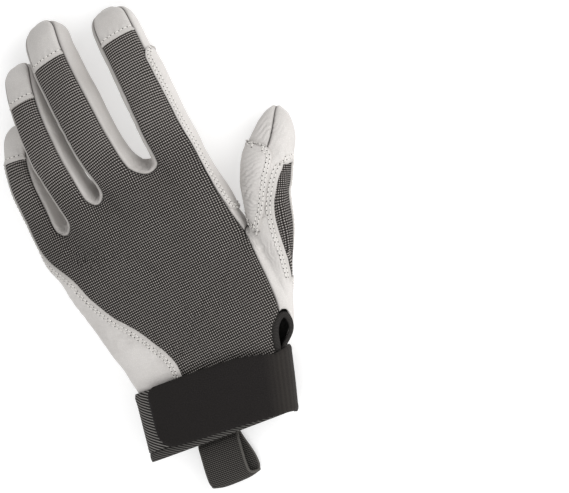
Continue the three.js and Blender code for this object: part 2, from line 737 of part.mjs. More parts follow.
// Makes one closed wall from faces: its outside lies `out` off the cage, its inside `out - wall`
const SHARPEST_CORNER = 0.4;
function wallGeometry(chosen, out, wall, edgeGap, cage = points, cageNormals = normals) {
  const edges = new Map();
  chosen.forEach(({ corners }) => corners.forEach((a, i) => {
    const b = corners[(i + 1) % corners.length];
    edges.set(`${a}_${b}`, [a, b]);
  }));
  const border = [...edges.values()].filter(([a, b]) => !edges.has(`${b}_${a}`));
  const pull = new Map();
  border.forEach(([a, b]) => {
    [a, b].forEach((i) => {
      const inward = cageNormals[i].clone().cross(cage[b].clone().sub(cage[a])).normalize();
      if (!pull.has(i)) pull.set(i, []);
      pull.get(i).push(inward);
    });
  });
  const used = [...new Set(chosen.flatMap(({ corners }) => corners))];
  const place = new Map(used.map((i, n) => [i, n]));
  const positions = [];
  [out, out - wall].forEach((offset) => used.forEach((i) => {
    const point = cage[i].clone().addScaledVector(cageNormals[i], offset);
    if (pull.has(i)) {
      const [first, second = first] = pull.get(i);
      const corner = Math.max(SHARPEST_CORNER, 1 + first.dot(second));
      point.addScaledVector(first.clone().add(second), edgeGap / corner);
    }
    positions.push(point.x, point.y, point.z);
  }));
  const count = used.length;
  const triangles = [];
  const quad = (a, b, c, d) => triangles.push(a, b, c, a, c, d);
  chosen.forEach(({ corners }) => {
    const [a, b, c, d] = corners.map((i) => place.get(i));
    quad(a, b, c, d);
    quad(count + d, count + c, count + b, count + a);
  });
  border.forEach(([a, b]) => {
    const [m, n] = [place.get(a), place.get(b)];
    quad(n, m, count + m, count + n);
  });
  const geometry = new THREE.BufferGeometry();
  geometry.setAttribute('position', new THREE.Float32BufferAttribute(positions, 3));
  geometry.setIndex(triangles);
  return geometry;
}

// A sheet given by rows of points becomes a closed wall, with `closed` joining its two ends
function sheetGeometry(rows, wall, closed = false) {
  const width = rows[0].length;
  const cage = rows.flat();
  const chosen = [];
  const lines = closed ? rows.length : rows.length - 1;
  for (let r = 0; r < lines; r += 1) {
    for (let c = 0; c + 1 < width; c += 1) {
      const next = ((r + 1) % rows.length) * width;
      chosen.push({ corners: [r * width + c, next + c, next + c + 1, r * width + c + 1] });
    }
  }
  const cageNormals = cage.map(() => vec(0, 0, 0));
  chosen.forEach(({ corners }) => {
    const [a, b, c, d] = corners.map((i) => cage[i]);
    const area = c.clone().sub(a).cross(d.clone().sub(b));
    corners.forEach((i) => cageNormals[i].add(area));
  });
  cageNormals.forEach((normal) => normal.normalize());
  return wallGeometry(chosen, wall, wall, 0, cage, cageNormals);
}

const glove = new THREE.Group();

function material(colour, roughness) {
  return new THREE.MeshStandardMaterial({ color: colour, roughness, metalness: 0 });
}

const LEATHER = material(0xd6d3cf, 0.55);
const CLOTH = material(0x5b5650, 0.9);
const ELASTIC = material(0x3a3735, 0.95);
const HOOK_AND_LOOP = material(0x2b2827, 0.95);
const TAPE = material(0x2f2c2b, 0.85);

function addMesh(name, geometry, finish) {
  const mesh = new THREE.Mesh(geometry, finish);
  mesh.name = name;
  glove.add(mesh);
}

// The panels of the skin
const CLOTH_PANELS = ['back_panel', 'thumb_patch'];
const panelNames = [...new Set(faces.map((face) => face.panel))];
panelNames.forEach((name) => {
  const chosen = faces.filter((face) => face.panel === name);
  const finish = CLOTH_PANELS.includes(name) ? CLOTH : LEATHER;
  addMesh(name, wallGeometry(chosen, 0, WALL, SEAM_GAP / 2), finish);
});

// Guards sewn over the panels: the faces of the skin that each one covers
const GUARD_RINGS = 5;
const GUARD_LAP = STRIP / 2;
const GUARDS = {
  index_guard: ({ part, row, column }) => (
    (part === 'index' && row < GUARD_RINGS && column >= STRIP && column < 2 * STRIP + GUARD_LAP)
    || (part === 'radial' && row > 0)
    || (part === 'palm' && row > 0 && column < GUARD_LAP)
  ),
  pinky_guard: ({ part, row, column }) => (
    (part === 'pinky' && row < GUARD_RINGS && column >= 3 * STRIP - GUARD_LAP && column < RING - GUARD_LAP)
    || (part === 'ulnar' && column < GUARD_LAP)
    || (part === 'palm' && column >= HAND - GUARD_LAP)
  ),
  thumb_guard: ({ part, row, column }) => (
    part === 'thumb' && row > 0 && row < GUARD_RINGS && (column > 3 * STRIP || column < GUARD_LAP)
  ),
};
Object.entries(GUARDS).forEach(([name, covers]) => {
  addMesh(name, wallGeometry(faces.filter(covers), GUARD_GAP + GUARD_WALL, GUARD_WALL, 0), LEATHER);
});

// The ribbed cuff, open at the thumb side under the strap
const slitAngle = THREE.MathUtils.radToDeg(Math.asin((CUFF_SLIT / CUFF_DEPTH) ** (CUFF_SHARPNESS / 2)));
function cuffBand(from, to, sides, acrossAt, out) {
  return Array.from({ length: sides + 1 }, (_, i) => {
    const angle = lerp(from, to, i / sides);
    return acrossAt(angle, i / sides).map((y) => cuffPoint(angle, y, out));
  });
}
const spaced = (from, to, count) => Array.from({ length: count + 1 }, (_, i) => lerp(from, to, i / count));
const hemTop = HEM_Y + HEM_HEIGHT;
const cuffRows = cuffBand(360 - slitAngle, slitAngle, CUFF_SIDES, (angle) => (
  spaced(hemTop + SEAM_GAP, cuffEdge(angle), 4)
), -CUFF_WALL);
addMesh('cuff', sheetGeometry(cuffRows, CUFF_WALL), ELASTIC);
const hemRows = cuffBand(360 - slitAngle, slitAngle, CUFF_SIDES, () => spaced(HEM_Y, hemTop, 1), -HEM_WALL);
addMesh('cuff_hem', sheetGeometry(hemRows, HEM_WALL), TAPE);

// The strap over the back of the cuff, with its end rounded
const strapShare = (CUFF_WIDTH - 2 * STRAP_END) / CUFF_WIDTH;
const strapTo = THREE.MathUtils.radToDeg(Math.acos(-(strapShare ** (CUFF_SHARPNESS / 2))));
const wrapShare = (CUFF_SLIT / 2 + STRAP_WRAP) / CUFF_DEPTH;
const strapFrom = -THREE.MathUtils.radToDeg(Math.asin(Math.min(1, wrapShare) ** (CUFF_SHARPNESS / 2)));
const STRAP_SIDES = 34;
const strapRows = cuffBand(strapTo, strapFrom, STRAP_SIDES, (angle, share) => {
  const toEnd = cuffPoint(strapTo, 0, 0).distanceTo(cuffPoint(angle, 0, 0));
  const inCorner = Math.max(0, STRAP_CORNER - toEnd);
  const cut = STRAP_CORNER - Math.sqrt(STRAP_CORNER ** 2 - inCorner ** 2);
  const low = HEM_Y + lerp(STRAP_RISE, -STRAP_DROP, share);
  return spaced(low + cut, cuffEdge(angle) - STRAP_SETBACK - cut, 5);
}, SEAM_GAP);
addMesh('strap', sheetGeometry(strapRows, STRAP_WALL), HOOK_AND_LOOP);

// The binding round the vent at the base of the thumb
const ventKnot = (i) => ({ point: points[i], normal: normals[i] });
const ventMiddle = (i, j) => ({
  point: mix(points[i], points[j], 0.5),
  normal: mix(normals[i], normals[j], 0.5).normalize(),
});
const ventSide = (edge) => {
  const ids = lowRows.slice(1, VENT_ROWS + 1).map(edge);
  const [below, top] = ids.slice(-2);
  return [...ids.slice(0, -1).map(ventKnot), ventMiddle(below, top)];
};
const ventLeft = ventSide((row) => row.back[HAND]);
const ventRight = ventSide((row) => row.thumb[0]);
const ventPath = [...ventLeft, ventKnot(lowRows[VENT_ROWS].backWeb), ...ventRight.reverse()];
const bindingInside = (VENT_BINDING_WALL + WALL) / 2;
const ventSum = ventPath.reduce((sum, { point }) => sum.add(point), vec(0, 0, 0));
const ventHeart = ventSum.divideScalar(ventPath.length);
const lastVent = ventPath.length - 1;
const ventPoint = (n) => {
  const here = ventPath[n].point;
  if (n === 0) return mix(here, ventPath[1].point, VENT_START);
  return n === lastVent ? mix(here, ventPath[lastVent - 1].point, VENT_START) : here;
};
// The binding's inner edge stays on its own side of the vent
const ventCorner = lastVent / 2 - 1;
const ventReach = (n) => {
  const m = Math.min(n, lastVent - n, ventCorner);
  const across = ventPoint(m).distanceTo(ventPoint(lastVent - m));
  return Math.min(VENT_EDGE + VENT_BINDING_WIDTH, across * VENT_SHARE);
};
const ventRows = ventPath.map(({ point, normal }, n) => {
  const before = ventPath[Math.max(0, n - 1)].point;
  const after = ventPath[Math.min(lastVent, n + 1)].point;
  const along = after.clone().sub(before).normalize();
  const inward = normal.clone().cross(along).normalize();
  if (inward.dot(ventHeart.clone().sub(point)) < 0) inward.negate();
  const from = ventPoint(n).clone().addScaledVector(normal, -bindingInside);
  return [ventReach(n), VENT_EDGE].map((d) => from.clone().addScaledVector(inward, d));
});
addMesh('vent_binding', sheetGeometry(ventRows, VENT_BINDING_WALL), TAPE);

// The pull loop: one length of webbing under the palm side of the cuff, out and back inside it
const loopEnd = HEM_Y - LOOP_REACH;
const loopRadius = LOOP_OPENING / 2;
const tuckHeight = CUFF_FLOOR + HEM_WALL + SEAM_GAP + TUCK_RISE;
const loopPath = spaced(HEM_Y + WEBBING_PATCH, loopEnd + loopRadius, 6).map((y) => [y, WEBBING_WALL]);
for (let angle = 30; angle <= 180; angle += 30) {
  const turn = radians(angle);
  loopPath.push([
    loopEnd + loopRadius - loopRadius * Math.sin(turn),
    WEBBING_WALL + loopRadius - loopRadius * Math.cos(turn),
  ]);
}
loopPath.push([loopEnd + LOOP_REACH * LOOP_RISE, WEBBING_WALL + LOOP_OPENING]);
loopPath.push([HEM_Y - 2 * WEBBING_WALL, tuckHeight + WEBBING_WALL]);
loopPath.push([HEM_Y - SEAM_GAP, tuckHeight]);
loopPath.push([HEM_Y + WEBBING_TUCK, tuckHeight]);
const loopRows = loopPath.map(([y, z]) => (
  spaced(LOOP_CENTRE - WEBBING_WIDTH / 2, LOOP_CENTRE + WEBBING_WIDTH / 2, 2).map((x) => vec(x, y, z))
));
addMesh('pull_loop', sheetGeometry(loopRows.map((row) => row.reverse()), WEBBING_WALL), TAPE);

glove.updateMatrixWorld(true);
const box = new THREE.Box3().setFromObject(glove);
glove.position.set(-(box.min.x + box.max.x) / 2, -(box.min.y + box.max.y) / 2, -box.min.z);

export default glove;
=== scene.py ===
"""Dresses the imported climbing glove. Lengths are in millimetres until a mesh is made.
X points to the thumb side, Y to the fingertips and Z up."""

import math

import bpy
import numpy as np
from mathutils import Matrix, Vector, noise
from mathutils.bvhtree import BVHTree
from mathutils.kdtree import KDTree


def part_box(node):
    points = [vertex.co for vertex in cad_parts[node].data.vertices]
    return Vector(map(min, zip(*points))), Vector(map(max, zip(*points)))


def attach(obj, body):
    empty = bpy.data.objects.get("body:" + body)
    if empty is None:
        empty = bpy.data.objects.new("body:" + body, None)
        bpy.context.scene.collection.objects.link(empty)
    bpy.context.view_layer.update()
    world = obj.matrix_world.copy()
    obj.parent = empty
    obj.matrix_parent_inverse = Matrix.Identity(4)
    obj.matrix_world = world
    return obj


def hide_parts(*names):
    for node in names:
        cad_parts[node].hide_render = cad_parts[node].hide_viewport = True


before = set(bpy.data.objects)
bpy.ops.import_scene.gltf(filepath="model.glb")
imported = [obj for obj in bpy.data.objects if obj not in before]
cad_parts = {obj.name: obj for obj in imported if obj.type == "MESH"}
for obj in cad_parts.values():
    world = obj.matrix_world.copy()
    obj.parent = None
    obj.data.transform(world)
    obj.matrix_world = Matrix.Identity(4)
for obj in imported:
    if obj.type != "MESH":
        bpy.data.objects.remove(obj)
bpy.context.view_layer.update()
MM = 0.001

# Sizes of the glove, as in the part
KNUCKLE_WIDTH = 104
PALM_LENGTH = 109
PALM_DEPTH = 31
WALL = 1.2
GUARD_WALL = 1.0
SEAM_GAP = 0.3
CUFF_WIDTH = 86
CUFF_DEPTH = 25
CUFF_LENGTH = 35
CUFF_WALL = 2
CUFF_LAP = 6
CUFF_SLIT = 7
HEM_HEIGHT = 4.5
HEM_WALL = 2.6
STRAP_WALL = 1.8
STRAP_END = 11
STRAP_WRAP = 6
STRAP_RISE = 3.5
STRAP_DROP = 1.5
WEBBING_WIDTH = 23
WEBBING_WALL = 1.5
WEBBING_PATCH = 30
WEBBING_TUCK = 8
TUCK_RISE = 0.9
LOOP_REACH = 25
LOOP_OPENING = 6
LOOP_CENTRE = -9
LOOP_RISE = 0.45
STRIP = 4
WEB = 2
HAND = 4 * STRIP + 3 * WEB
RING = 4 * STRIP
CUFF_FLOOR = WEBBING_WALL + SEAM_GAP
CUFF_MIDDLE = CUFF_FLOOR + CUFF_DEPTH / 2
HEM_Y = -6
CUFF_TOP = HEM_Y + CUFF_LENGTH
SHARPNESS = 2.6
CUFF_SHARPNESS = 2.5
PALM_REACH = 0.8
CUFF_SKEW = 0.2
CUFF_FLARE = 0.94
CUFF_CENTRE = 4.6
CUFF_CLEAR = 0.5
SHAFT_RINGS = 6
CAP_RINGS = (0.35, 0.65, 0.85, 0.96)
BACK_CORNER = 42
PALM_CORNER = 48
TIP_PUSH = 0.018
ROOT_FADE = 0.3
WEB_DIP = 0.04
FORK_ROW = 0.53
WRIST_SEAM_ULNAR = 100
WRIST_SEAM_RADIAL = 24
WRIST_WEB_ANGLE = -92
PALM_WRIST_RADIAL = -95
PALM_WRIST_ULNAR = -140
THUMB_WRIST_ANGLES = (1, -5, -11, -18, -25, -33, -42, -52, -62, -73, -83, -86, -89)
HEEL_LEAVES = np.array((0.15, 1, 0))
FAR = 99.0

PALM = {
    "along": (0.07, 0.14, 0.24, 0.34, 0.44, 0.53, 0.63, 0.73, 0.83, 0.92, 1.0),
    "ulnar": (-0.365, -0.373, -0.401, -0.423, -0.44, -0.462, -0.484, -0.5, -0.524, -0.543, -0.558),
    "radial": (0.567, 0.606, 0.635, 0.635, 0.606, 0.51, 0.48, 0.461, 0.45, 0.443, 0.437),
    "low": (0.02, 0.01, 0.0, 0.0, 0.02, 0.05, 0.09, 0.13, 0.17, 0.2, 0.22),
    "high": (0.87, 0.9, 0.93, 0.95, 0.98, 1.01, 1.05, 1.09, 1.12, 1.13, 1.13),
    "back_ulnar": (-0.045, -0.063, -0.121, -0.171, -0.263, -0.31, -0.359, -0.387, -0.42, -0.463, -0.492),
    "back_radial": (0.452, 0.517, 0.52, 0.515, 0.508, 0.49, 0.464, 0.444, 0.43, 0.418, 0.403),
    "palm_radial": (0.12, 0.17, 0.24, 0.31, 0.37, 0.41, 0.42, 0.42, 0.4, 0.385, 0.37),
}
FINGER_BLEND = {"along": (0.73, 0.83, 0.92, 1.0), "share": (0, 0.3, 0.7, 1)}
DIGIT_FORM = {
    "at": (0, 0.25, 0.5, 0.75, 1),
    "width": (1.0, 0.97, 0.95, 0.93, 0.88),
    "depth": (1.0, 0.98, 0.96, 0.9, 0.8),
}
CUFF_EDGE = {
    "angle": (-180, -130, -90, -45, -15, 30, 70, 100, 180),
    "drop": (0.0, 0.07, 0.14, 0.08, 0.12, 0.17, 0.03, 0.0, 0.0),
}
THUMB_HEEL = {
    "share": (0, 0.13, 0.26, 0.45, 0.64, 0.83, 1),
    "out": (0, 0.39, 0.44, 0.38, 0.26, 0.11, 0),
    "up": (0, 0.14, 0.24, 0.2, 0.12, 0.05, 0),
}
HEEL_ROUND = {"k": (0, 4, 8, 10), "share": (1, 0.9, 0.35, 0)}

# Each digit's sizes, root and path, whose rows are along, aside and rise
DIGITS = {
    "pinky": dict(
        length=55.5, width=19, depth=16.5, across=-0.464, along=0.862, up=0.55, roll=-16,
        root=0.93, slant=0.3, lean=0.8, cap=0.66, tip=0.17, point=2.2,
        path=((0.2, -0.02, 0.0), (0.42, -0.05, -0.02), (0.66, -0.05, -0.07), (0.85, -0.01, -0.13),
              (0.99, 0.03, -0.18)),
    ),
    "ring": dict(
        length=77.5, width=22, depth=19, across=-0.25, along=0.936, up=0.77, roll=-10,
        root=0.9, slant=0.32, lean=0.75, cap=0.72, tip=0.135, point=2.2,
        path=((0.14, -0.03, 0.0), (0.27, -0.06, -0.01), (0.6, -0.105, -0.06), (0.83, -0.115, -0.14),
              (0.96, -0.105, -0.2)),
    ),
    "middle": dict(
        length=87.5, width=26, depth=20.5, across=-0.004, along=0.991, up=0.81, roll=-5,
        root=0.95, slant=0.1, lean=0.5, cap=0.735, tip=0.13, point=2.2,
        path=((0.17, -0.045, 0.0), (0.48, -0.1, -0.03), (0.745, -0.152, -0.1), (0.88, -0.168, -0.155),
              (0.955, -0.172, -0.19)),
    ),
    "index": dict(
        length=79.5, width=25.5, depth=20, across=0.303, along=1.0, up=0.71, roll=13,
        root=0.97, slant=0.0, lean=0.45, cap=0.765, tip=0.13, point=2.3,
        path=((0.17, -0.025, 0.0), (0.51, -0.06, -0.04), (0.745, -0.11, -0.1), (0.88, -0.14, -0.15),
              (0.965, -0.155, -0.185)),
    ),
    "thumb": dict(
        length=49.5, width=25.5, depth=21, across=0.62, along=0.585, up=0.47, roll=6,
        root=0.84, slant=0.35, lean=0.25, cap=0.7, tip=0.5, point=2.05,
        path=((0.26, 0.07, -0.01), (0.47, 0.165, -0.03), (0.64, 0.28, -0.06), (0.79, 0.36, -0.09),
              (0.94, 0.42, -0.12)),
    ),
}
FINGERS = ("pinky", "ring", "middle", "index")
SIDES = ("pinky_side", "fourchette_ring_pinky", "fourchette_middle_ring",
         "fourchette_index_middle", "index_side")

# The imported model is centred: this moves the part's own frame onto it
loop_low, loop_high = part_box("pull_loop")
SHIFT = np.array((
    (loop_low.x + loop_high.x) / 2 / MM - LOOP_CENTRE,
    loop_low.y / MM - (HEM_Y - LOOP_REACH - WEBBING_WALL),
    0.0,
))


def power(value, exponent):
    return math.copysign(abs(value) ** exponent, value)


def look(table, key, at, column):
    return float(np.interp(at, table[key], table[column]))


def lerp(a, b, share):
    return a + (b - a) * share


def smooth(value):
    t = np.clip(value, 0, 1)
    return t * t * (3 - 2 * t)


def unit(v):
    return v / max(1e-9, float(np.linalg.norm(v)))


def units(rows):
    return rows / np.maximum(1e-9, np.linalg.norm(rows, axis=1))[:, None]


def cuff_point(angle, y, out):
    half = CUFF_WIDTH / 2 * lerp(1, CUFF_FLARE, (CUFF_TOP - y) / CUFF_LENGTH)
    c = math.cos(math.radians(angle))
    s = math.sin(math.radians(angle))
    steep = 2 - 2 / CUFF_SHARPNESS
    normal = unit(np.array((power(c, steep) / half, 0, power(s, steep) * 2 / CUFF_DEPTH)))
    x = CUFF_CENTRE - CUFF_SKEW * (CUFF_TOP - y) + half * power(c, 2 / CUFF_SHARPNESS)
    z = CUFF_MIDDLE + CUFF_DEPTH / 2 * power(s, 2 / CUFF_SHARPNESS)
    return np.array((x, y, z)) + normal * out


def cuff_edge(angle):
    turned = (angle + 180) % 360 - 180
    return CUFF_TOP - CUFF_LENGTH * look(CUFF_EDGE, "angle", turned, "drop")


def hump(value, width):
    return np.exp(-((value / width) ** 2))


def eased(share):
    return 0.5 - 0.5 * math.cos(math.pi * share)


def running_length(line):
    """The length along a line up to each of its points."""
    return np.concatenate(((0,), np.cumsum(np.linalg.norm(np.diff(line, axis=0), axis=1))))


def along_line(length, sums, line):
    return np.array([np.interp(length, sums, line[:, i]) for i in range(3)])


def relax(line, rounds):
    """Smooths a line in place, with its ends held."""
    for _ in range(rounds):
        line[1:-1] = (line[:-2] + 2 * line[1:-1] + line[2:]) / 4


def hermite(t, start, leave, end, reach):
    return (
        (2 * t**3 - 3 * t**2 + 1) * start + (t**3 - 2 * t**2 + t) * leave
        + (3 * t**2 - 2 * t**3) * end + (t**3 - t**2) * reach
    )


def point_tree(numbered):
    """A tree that finds the nearest of numbered points."""
    tree = KDTree(len(numbered))
    for n, spot in numbered:
        tree.insert(spot, n)
    tree.balance()
    return tree


def add_object(name, data):
    made = bpy.data.objects.new(name, data)
    bpy.context.scene.collection.objects.link(made)
    return made


# A smooth path through points, measured by its length
class Path:
    def __init__(self, knots, steps=40):
        knots = [np.array(k, float) for k in knots]
        ends = [2 * knots[0] - knots[1], *knots, 2 * knots[-1] - knots[-2]]
        line = []
        for a, b, c, d in zip(ends, ends[1:], ends[2:], ends[3:]):
            gaps = [max(1e-6, float(np.linalg.norm(q - p)) ** 0.5) for p, q in ((a, b), (b, c), (c, d))]
            leave = (b - a) / gaps[0] - (c - a) / (gaps[0] + gaps[1]) + (c - b) / gaps[1]
            reach = (c - b) / gaps[1] - (d - b) / (gaps[1] + gaps[2]) + (d - c) / gaps[2]
            line += [hermite(i / steps, b, leave * gaps[1], c, reach * gaps[1]) for i in range(steps)]
        self.line = np.array([*line, knots[-1]])
        self.sums = running_length(self.line)
        self.length = float(self.sums[-1])

    def at(self, share):
        return along_line(share * self.length, self.sums, self.line)

    def ahead(self, share):
        low = max(0.0, share - 0.005)
        high = min(1.0, share + 0.005)
        return unit(self.at(high) - self.at(low))


class Digit:
    def __init__(self, name):
        self.name = name
        self.__dict__.update(DIGITS[name])
        root_y = CUFF_TOP + self.along * PALM_LENGTH - 1
        base = np.array((self.across * KNUCKLE_WIDTH, root_y, self.up * PALM_DEPTH))
        rows = [base + np.array((aside, along, rise)) * self.length for along, aside, rise in self.path]
        self.way = Path([base, *rows])

    def frame(self, at):
        ahead = self.way.ahead(at)
        side = unit(np.cross(ahead, (0, 0, 1)))
        up = unit(np.cross(side, ahead))
        turn = math.radians(self.roll)
        c, s = math.cos(turn), math.sin(turn)
        spin = lambda v: v * c + np.cross(ahead, v) * s
        return self.way.at(at), ahead, spin(side), spin(up)

    def ring(self, at):
        centre, ahead, side, up = self.frame(at)
        from_tip = min(1, (1 - at) / self.tip)
        rounded = (1 - (1 - from_tip) ** self.point) ** (1 / self.point)
        fade = float(smooth(1 - at / ROOT_FADE))
        half_width = self.width / 2 * look(DIGIT_FORM, "at", at, "width") * rounded * lerp(1, self.root, fade)
        half_depth = self.depth / 2 * look(DIGIT_FORM, "at", at, "depth") * rounded
        ring = []
        for k in range(RING):
            angle = math.radians(ring_angle(k))
            s = half_width * power(math.cos(angle), 2 / SHARPNESS)
            n = half_depth * power(math.sin(angle), 2 / SHARPNESS)
            ring.append(centre + side * s + up * n + ahead * fade * (self.slant * s - self.lean * n))
        return ring

    def forward(self, at):
        """How far each point of a ring lies ahead of its centre."""
        centre, ahead, _, _ = self.frame(at)
        return [float((p - centre) @ ahead) for p in self.ring(at)]

    def stations(self):
        shaft = [self.cap * i / SHAFT_RINGS for i in range(SHAFT_RINGS + 1)]
        return shaft + [lerp(self.cap, 1, share) for share in CAP_RINGS]


def ring_angle(k):
    quarter, step = divmod(k, STRIP)
    starts = (180 - BACK_CORNER, BACK_CORNER, -PALM_CORNER, PALM_CORNER - 180)
    ends = (BACK_CORNER, -PALM_CORNER, PALM_CORNER - 180, -180 - BACK_CORNER)
    return lerp(starts[quarter], ends[quarter], step / STRIP)


# The cage of the skin: points, the place of each in the weave, faces and their panels
points = []
weave = []
faces = []
panels = []
REST_SOFT = 1.2
WARP_LEAN = 0.08
WEFT_RISE = 0.09


def add_point(point, place=None):
    """Stores a point and its place in the weave, which on the hand is seen from straight above."""
    p = np.array(point, float)
    place = place or (p[0] + WARP_LEAN * (p[1] - CUFF_TOP), p[1] - CUFF_TOP - WEFT_RISE * p[0])
    if p[2] < REST_SOFT:
        deep = REST_SOFT - p[2]
        p[2] = REST_SOFT - REST_SOFT * deep / (REST_SOFT + deep)
    points.append(p)
    weave.append(place)
    return len(points) - 1


def add_row(row):
    return [add_point(p) for p in row]


def add_thumb_row(row):
    """Stores a row of the thumb's side; places in its weave are counted across from its middle."""
    sums = running_length(row)
    return [
        add_point(p, (s - sums[STRIP], p[1] - CUFF_TOP) if k > 1 else None)
        for k, (p, s) in enumerate(zip(row, sums))
    ]


def add_ring(digit, at, middle, start):
    """Stores a ring of a digit; places in its weave go on from those of its root."""
    ring = digit.ring(at)
    sums = running_length(ring)
    sums[2 * STRIP + 3:] -= sums[-1] + float(np.linalg.norm(ring[0] - ring[-1]))
    along = start[1] + at * digit.way.length
    return [
        add_point(p, (start[0] + s - sums[middle], along + ahead))
        for p, s, ahead in zip(ring, sums, digit.forward(at))
    ]


def add_face(panel, a, b, c, d):
    faces.append((d, c, b, a))
    panels.append(panel)


def join_rows(low, high, panel_of):
    for i in range(len(low) - 1):
        panel = panel_of(i)
        if panel:
            add_face(panel, low[i + 1], low[i], high[i], high[i + 1])


fingers = [Digit(name) for name in FINGERS]
thumb = Digit("thumb")
root_rings = [finger.ring(0) for finger in fingers]


def root_row(corner, step):
    row = []
    for i, ring in enumerate(root_rings):
        row += [ring[(corner + step * k) % RING] for k in range(STRIP + 1)]
        if i + 1 < len(root_rings):
            middle = (row[-1] + root_rings[i + 1][corner % RING]) / 2
            middle[1] -= WEB_DIP * PALM_LENGTH
            row.append(middle)
    return row


back_roots = root_row(0, 1)
palm_roots = root_row(3 * STRIP, -1)


class Section:
    def __init__(self, along):
        value = lambda column: look(PALM, "along", along, column)
        ulnar, radial, back_ulnar, back_radial, palm_radial = (
            value(column) * KNUCKLE_WIDTH
            for column in ("ulnar", "radial", "back_ulnar", "back_radial", "palm_radial")
        )
        self.centre = (ulnar + radial) / 2
        self.half = (radial - ulnar) / 2
        self.middle = (value("low") + value("high")) / 2 * PALM_DEPTH
        self.deep = (value("high") - value("low")) / 2 * PALM_DEPTH
        self.back_ulnar, self.back_radial, self.palm_radial = back_ulnar, back_radial, palm_radial

    def angle(self, x):
        share = min(1, max(-1, (x - self.centre) / self.half))
        return math.acos(power(share, SHARPNESS / 2))

    def point(self, angle, y):
        x = self.centre + self.half * power(math.cos(angle), 2 / SHARPNESS)
        z = self.middle + self.deep * power(math.sin(angle), 2 / SHARPNESS)
        return np.array((x, y, z))


def hand_row(along):
    form = Section(along)
    spread = float(smooth(along))
    blend = look(FINGER_BLEND, "along", along, "share")

    def place(roots, column, start, end, sign):
        share = lerp(column / HAND, (roots[column][0] - roots[0][0]) / (roots[HAND][0] - roots[0][0]), spread)
        y = lerp(CUFF_TOP, roots[column][1], along)
        on_section = form.point(sign * form.angle(lerp(start, end, share)), y)
        _, ahead, _, _ = fingers[min(len(fingers) - 1, column // (STRIP + WEB))].frame(0)
        behind = roots[column] - ahead * (roots[column][1] - y) / ahead[1]
        return lerp(on_section, behind, blend)

    palm_ulnar = form.centre - form.half * PALM_REACH
    back = [place(back_roots, c, form.back_ulnar, form.back_radial, 1) for c in range(HAND + 1)]
    palm = [place(palm_roots, c, palm_ulnar, form.palm_radial, -1) for c in range(HAND + 1)]

    def around(top, bottom, roots, turn):
        start = turn(form.angle(top[0]), 1)
        end = turn(form.angle(bottom[0]), -1)
        side = []
        for k in range(1, STRIP):
            y = lerp(top[1], bottom[1], k / STRIP)
            root = np.array((roots[k - 1][0], y, roots[k - 1][2]))
            side.append(lerp(form.point(lerp(start, end, k / STRIP), y), root, blend))
        return side

    return {
        "back": back,
        "palm": palm,
        "ulnar": around(back[0], palm[0], [root_rings[0][k] for k in (15, 14, 13)],
                        lambda angle, sign: angle if sign > 0 else 2 * math.pi - angle),
        "radial": around(back[HAND], palm[HAND], [root_rings[-1][k] for k in (5, 6, 7)],
                         lambda angle, sign: sign * angle),
    }


def wrist_row(below):
    at = lambda angle: cuff_point(angle, cuff_edge(angle) - below, -(CUFF_WALL + SEAM_GAP))
    span = lambda start, end, count: [at(lerp(start, end, i / count)) for i in range(count + 1)]
    return {
        "back": span(WRIST_SEAM_ULNAR, WRIST_SEAM_RADIAL, HAND),
        "back_web": at((WRIST_SEAM_RADIAL + THUMB_WRIST_ANGLES[0]) / 2),
        "thumb": [at(angle) for angle in THUMB_WRIST_ANGLES],
        "palm_web": at(WRIST_WEB_ANGLE),
        "palm": span(PALM_WRIST_ULNAR, PALM_WRIST_RADIAL, HAND),
        "ulnar": span(WRIST_SEAM_ULNAR, 360 + PALM_WRIST_ULNAR, STRIP)[1:STRIP],
    }


thumb_ring = thumb.ring(0)
fork_hand = hand_row(FORK_ROW)
fork_back_web = (fork_hand["back"][HAND] + thumb_ring[0]) / 2
fork_back_web[1] -= WEB_DIP * PALM_LENGTH * 0.5
fork_palm_web = (fork_hand["palm"][HAND] + thumb_ring[3 * STRIP]) / 2
wrist_top = wrist_row(-CUFF_CLEAR)


def thumb_row(along, hand):
    s = along / FORK_ROW
    _, ahead, _, _ = thumb.frame(0)
    row = []
    for k, start in enumerate(wrist_top["thumb"]):
        end = thumb_ring[k]
        length = float(np.linalg.norm(end - start))
        point = hermite(s, start, HEEL_LEAVES * length, end, ahead * length)
        point[0] += look(THUMB_HEEL, "share", s, "out") * thumb.width * look(HEEL_ROUND, "k", k, "share")
        point[2] += look(THUMB_HEEL, "share", s, "up") * thumb.width * look(HEEL_ROUND, "k", 2 * k, "share")
        row.append(point)
    return {
        "back_web": (hand["back"][HAND] + row[0]) / 2,
        "thumb": row,
        "palm_web": (hand["palm"][HAND] + row[3 * STRIP]) / 2,
    }


def store_low(hand, low):
    return {
        "back": add_row(hand["back"]),
        "back_web": add_point(low["back_web"]),
        "thumb": add_thumb_row(low["thumb"]),
        "palm_web": add_point(low["palm_web"]),
        "palm": add_row(hand["palm"]),
        "ulnar": add_row(hand["ulnar"]),
    }


low_rows = []
for below in (CUFF_LAP, -CUFF_CLEAR):
    wrist = wrist_row(below)
    low_rows.append(store_low(wrist, wrist))
for along in PALM["along"]:
    if along < FORK_ROW:
        hand = hand_row(along)
        low_rows.append(store_low(hand, thumb_row(along, hand)))
fork_row = store_low(fork_hand, {
    "back_web": fork_back_web, "thumb": thumb_ring[: 3 * STRIP + 1], "palm_web": fork_palm_web,
})
fork_row["radial"] = add_row(fork_hand["radial"])
fork_row["inner"] = add_row(thumb_ring[3 * STRIP + 1:])
low_rows.append(fork_row)
high_rows = [fork_row]
for along in PALM["along"]:
    if along > FORK_ROW:
        hand = hand_row(along)
        high_rows.append({key: add_row(hand[key]) for key in ("back", "palm", "ulnar", "radial")})

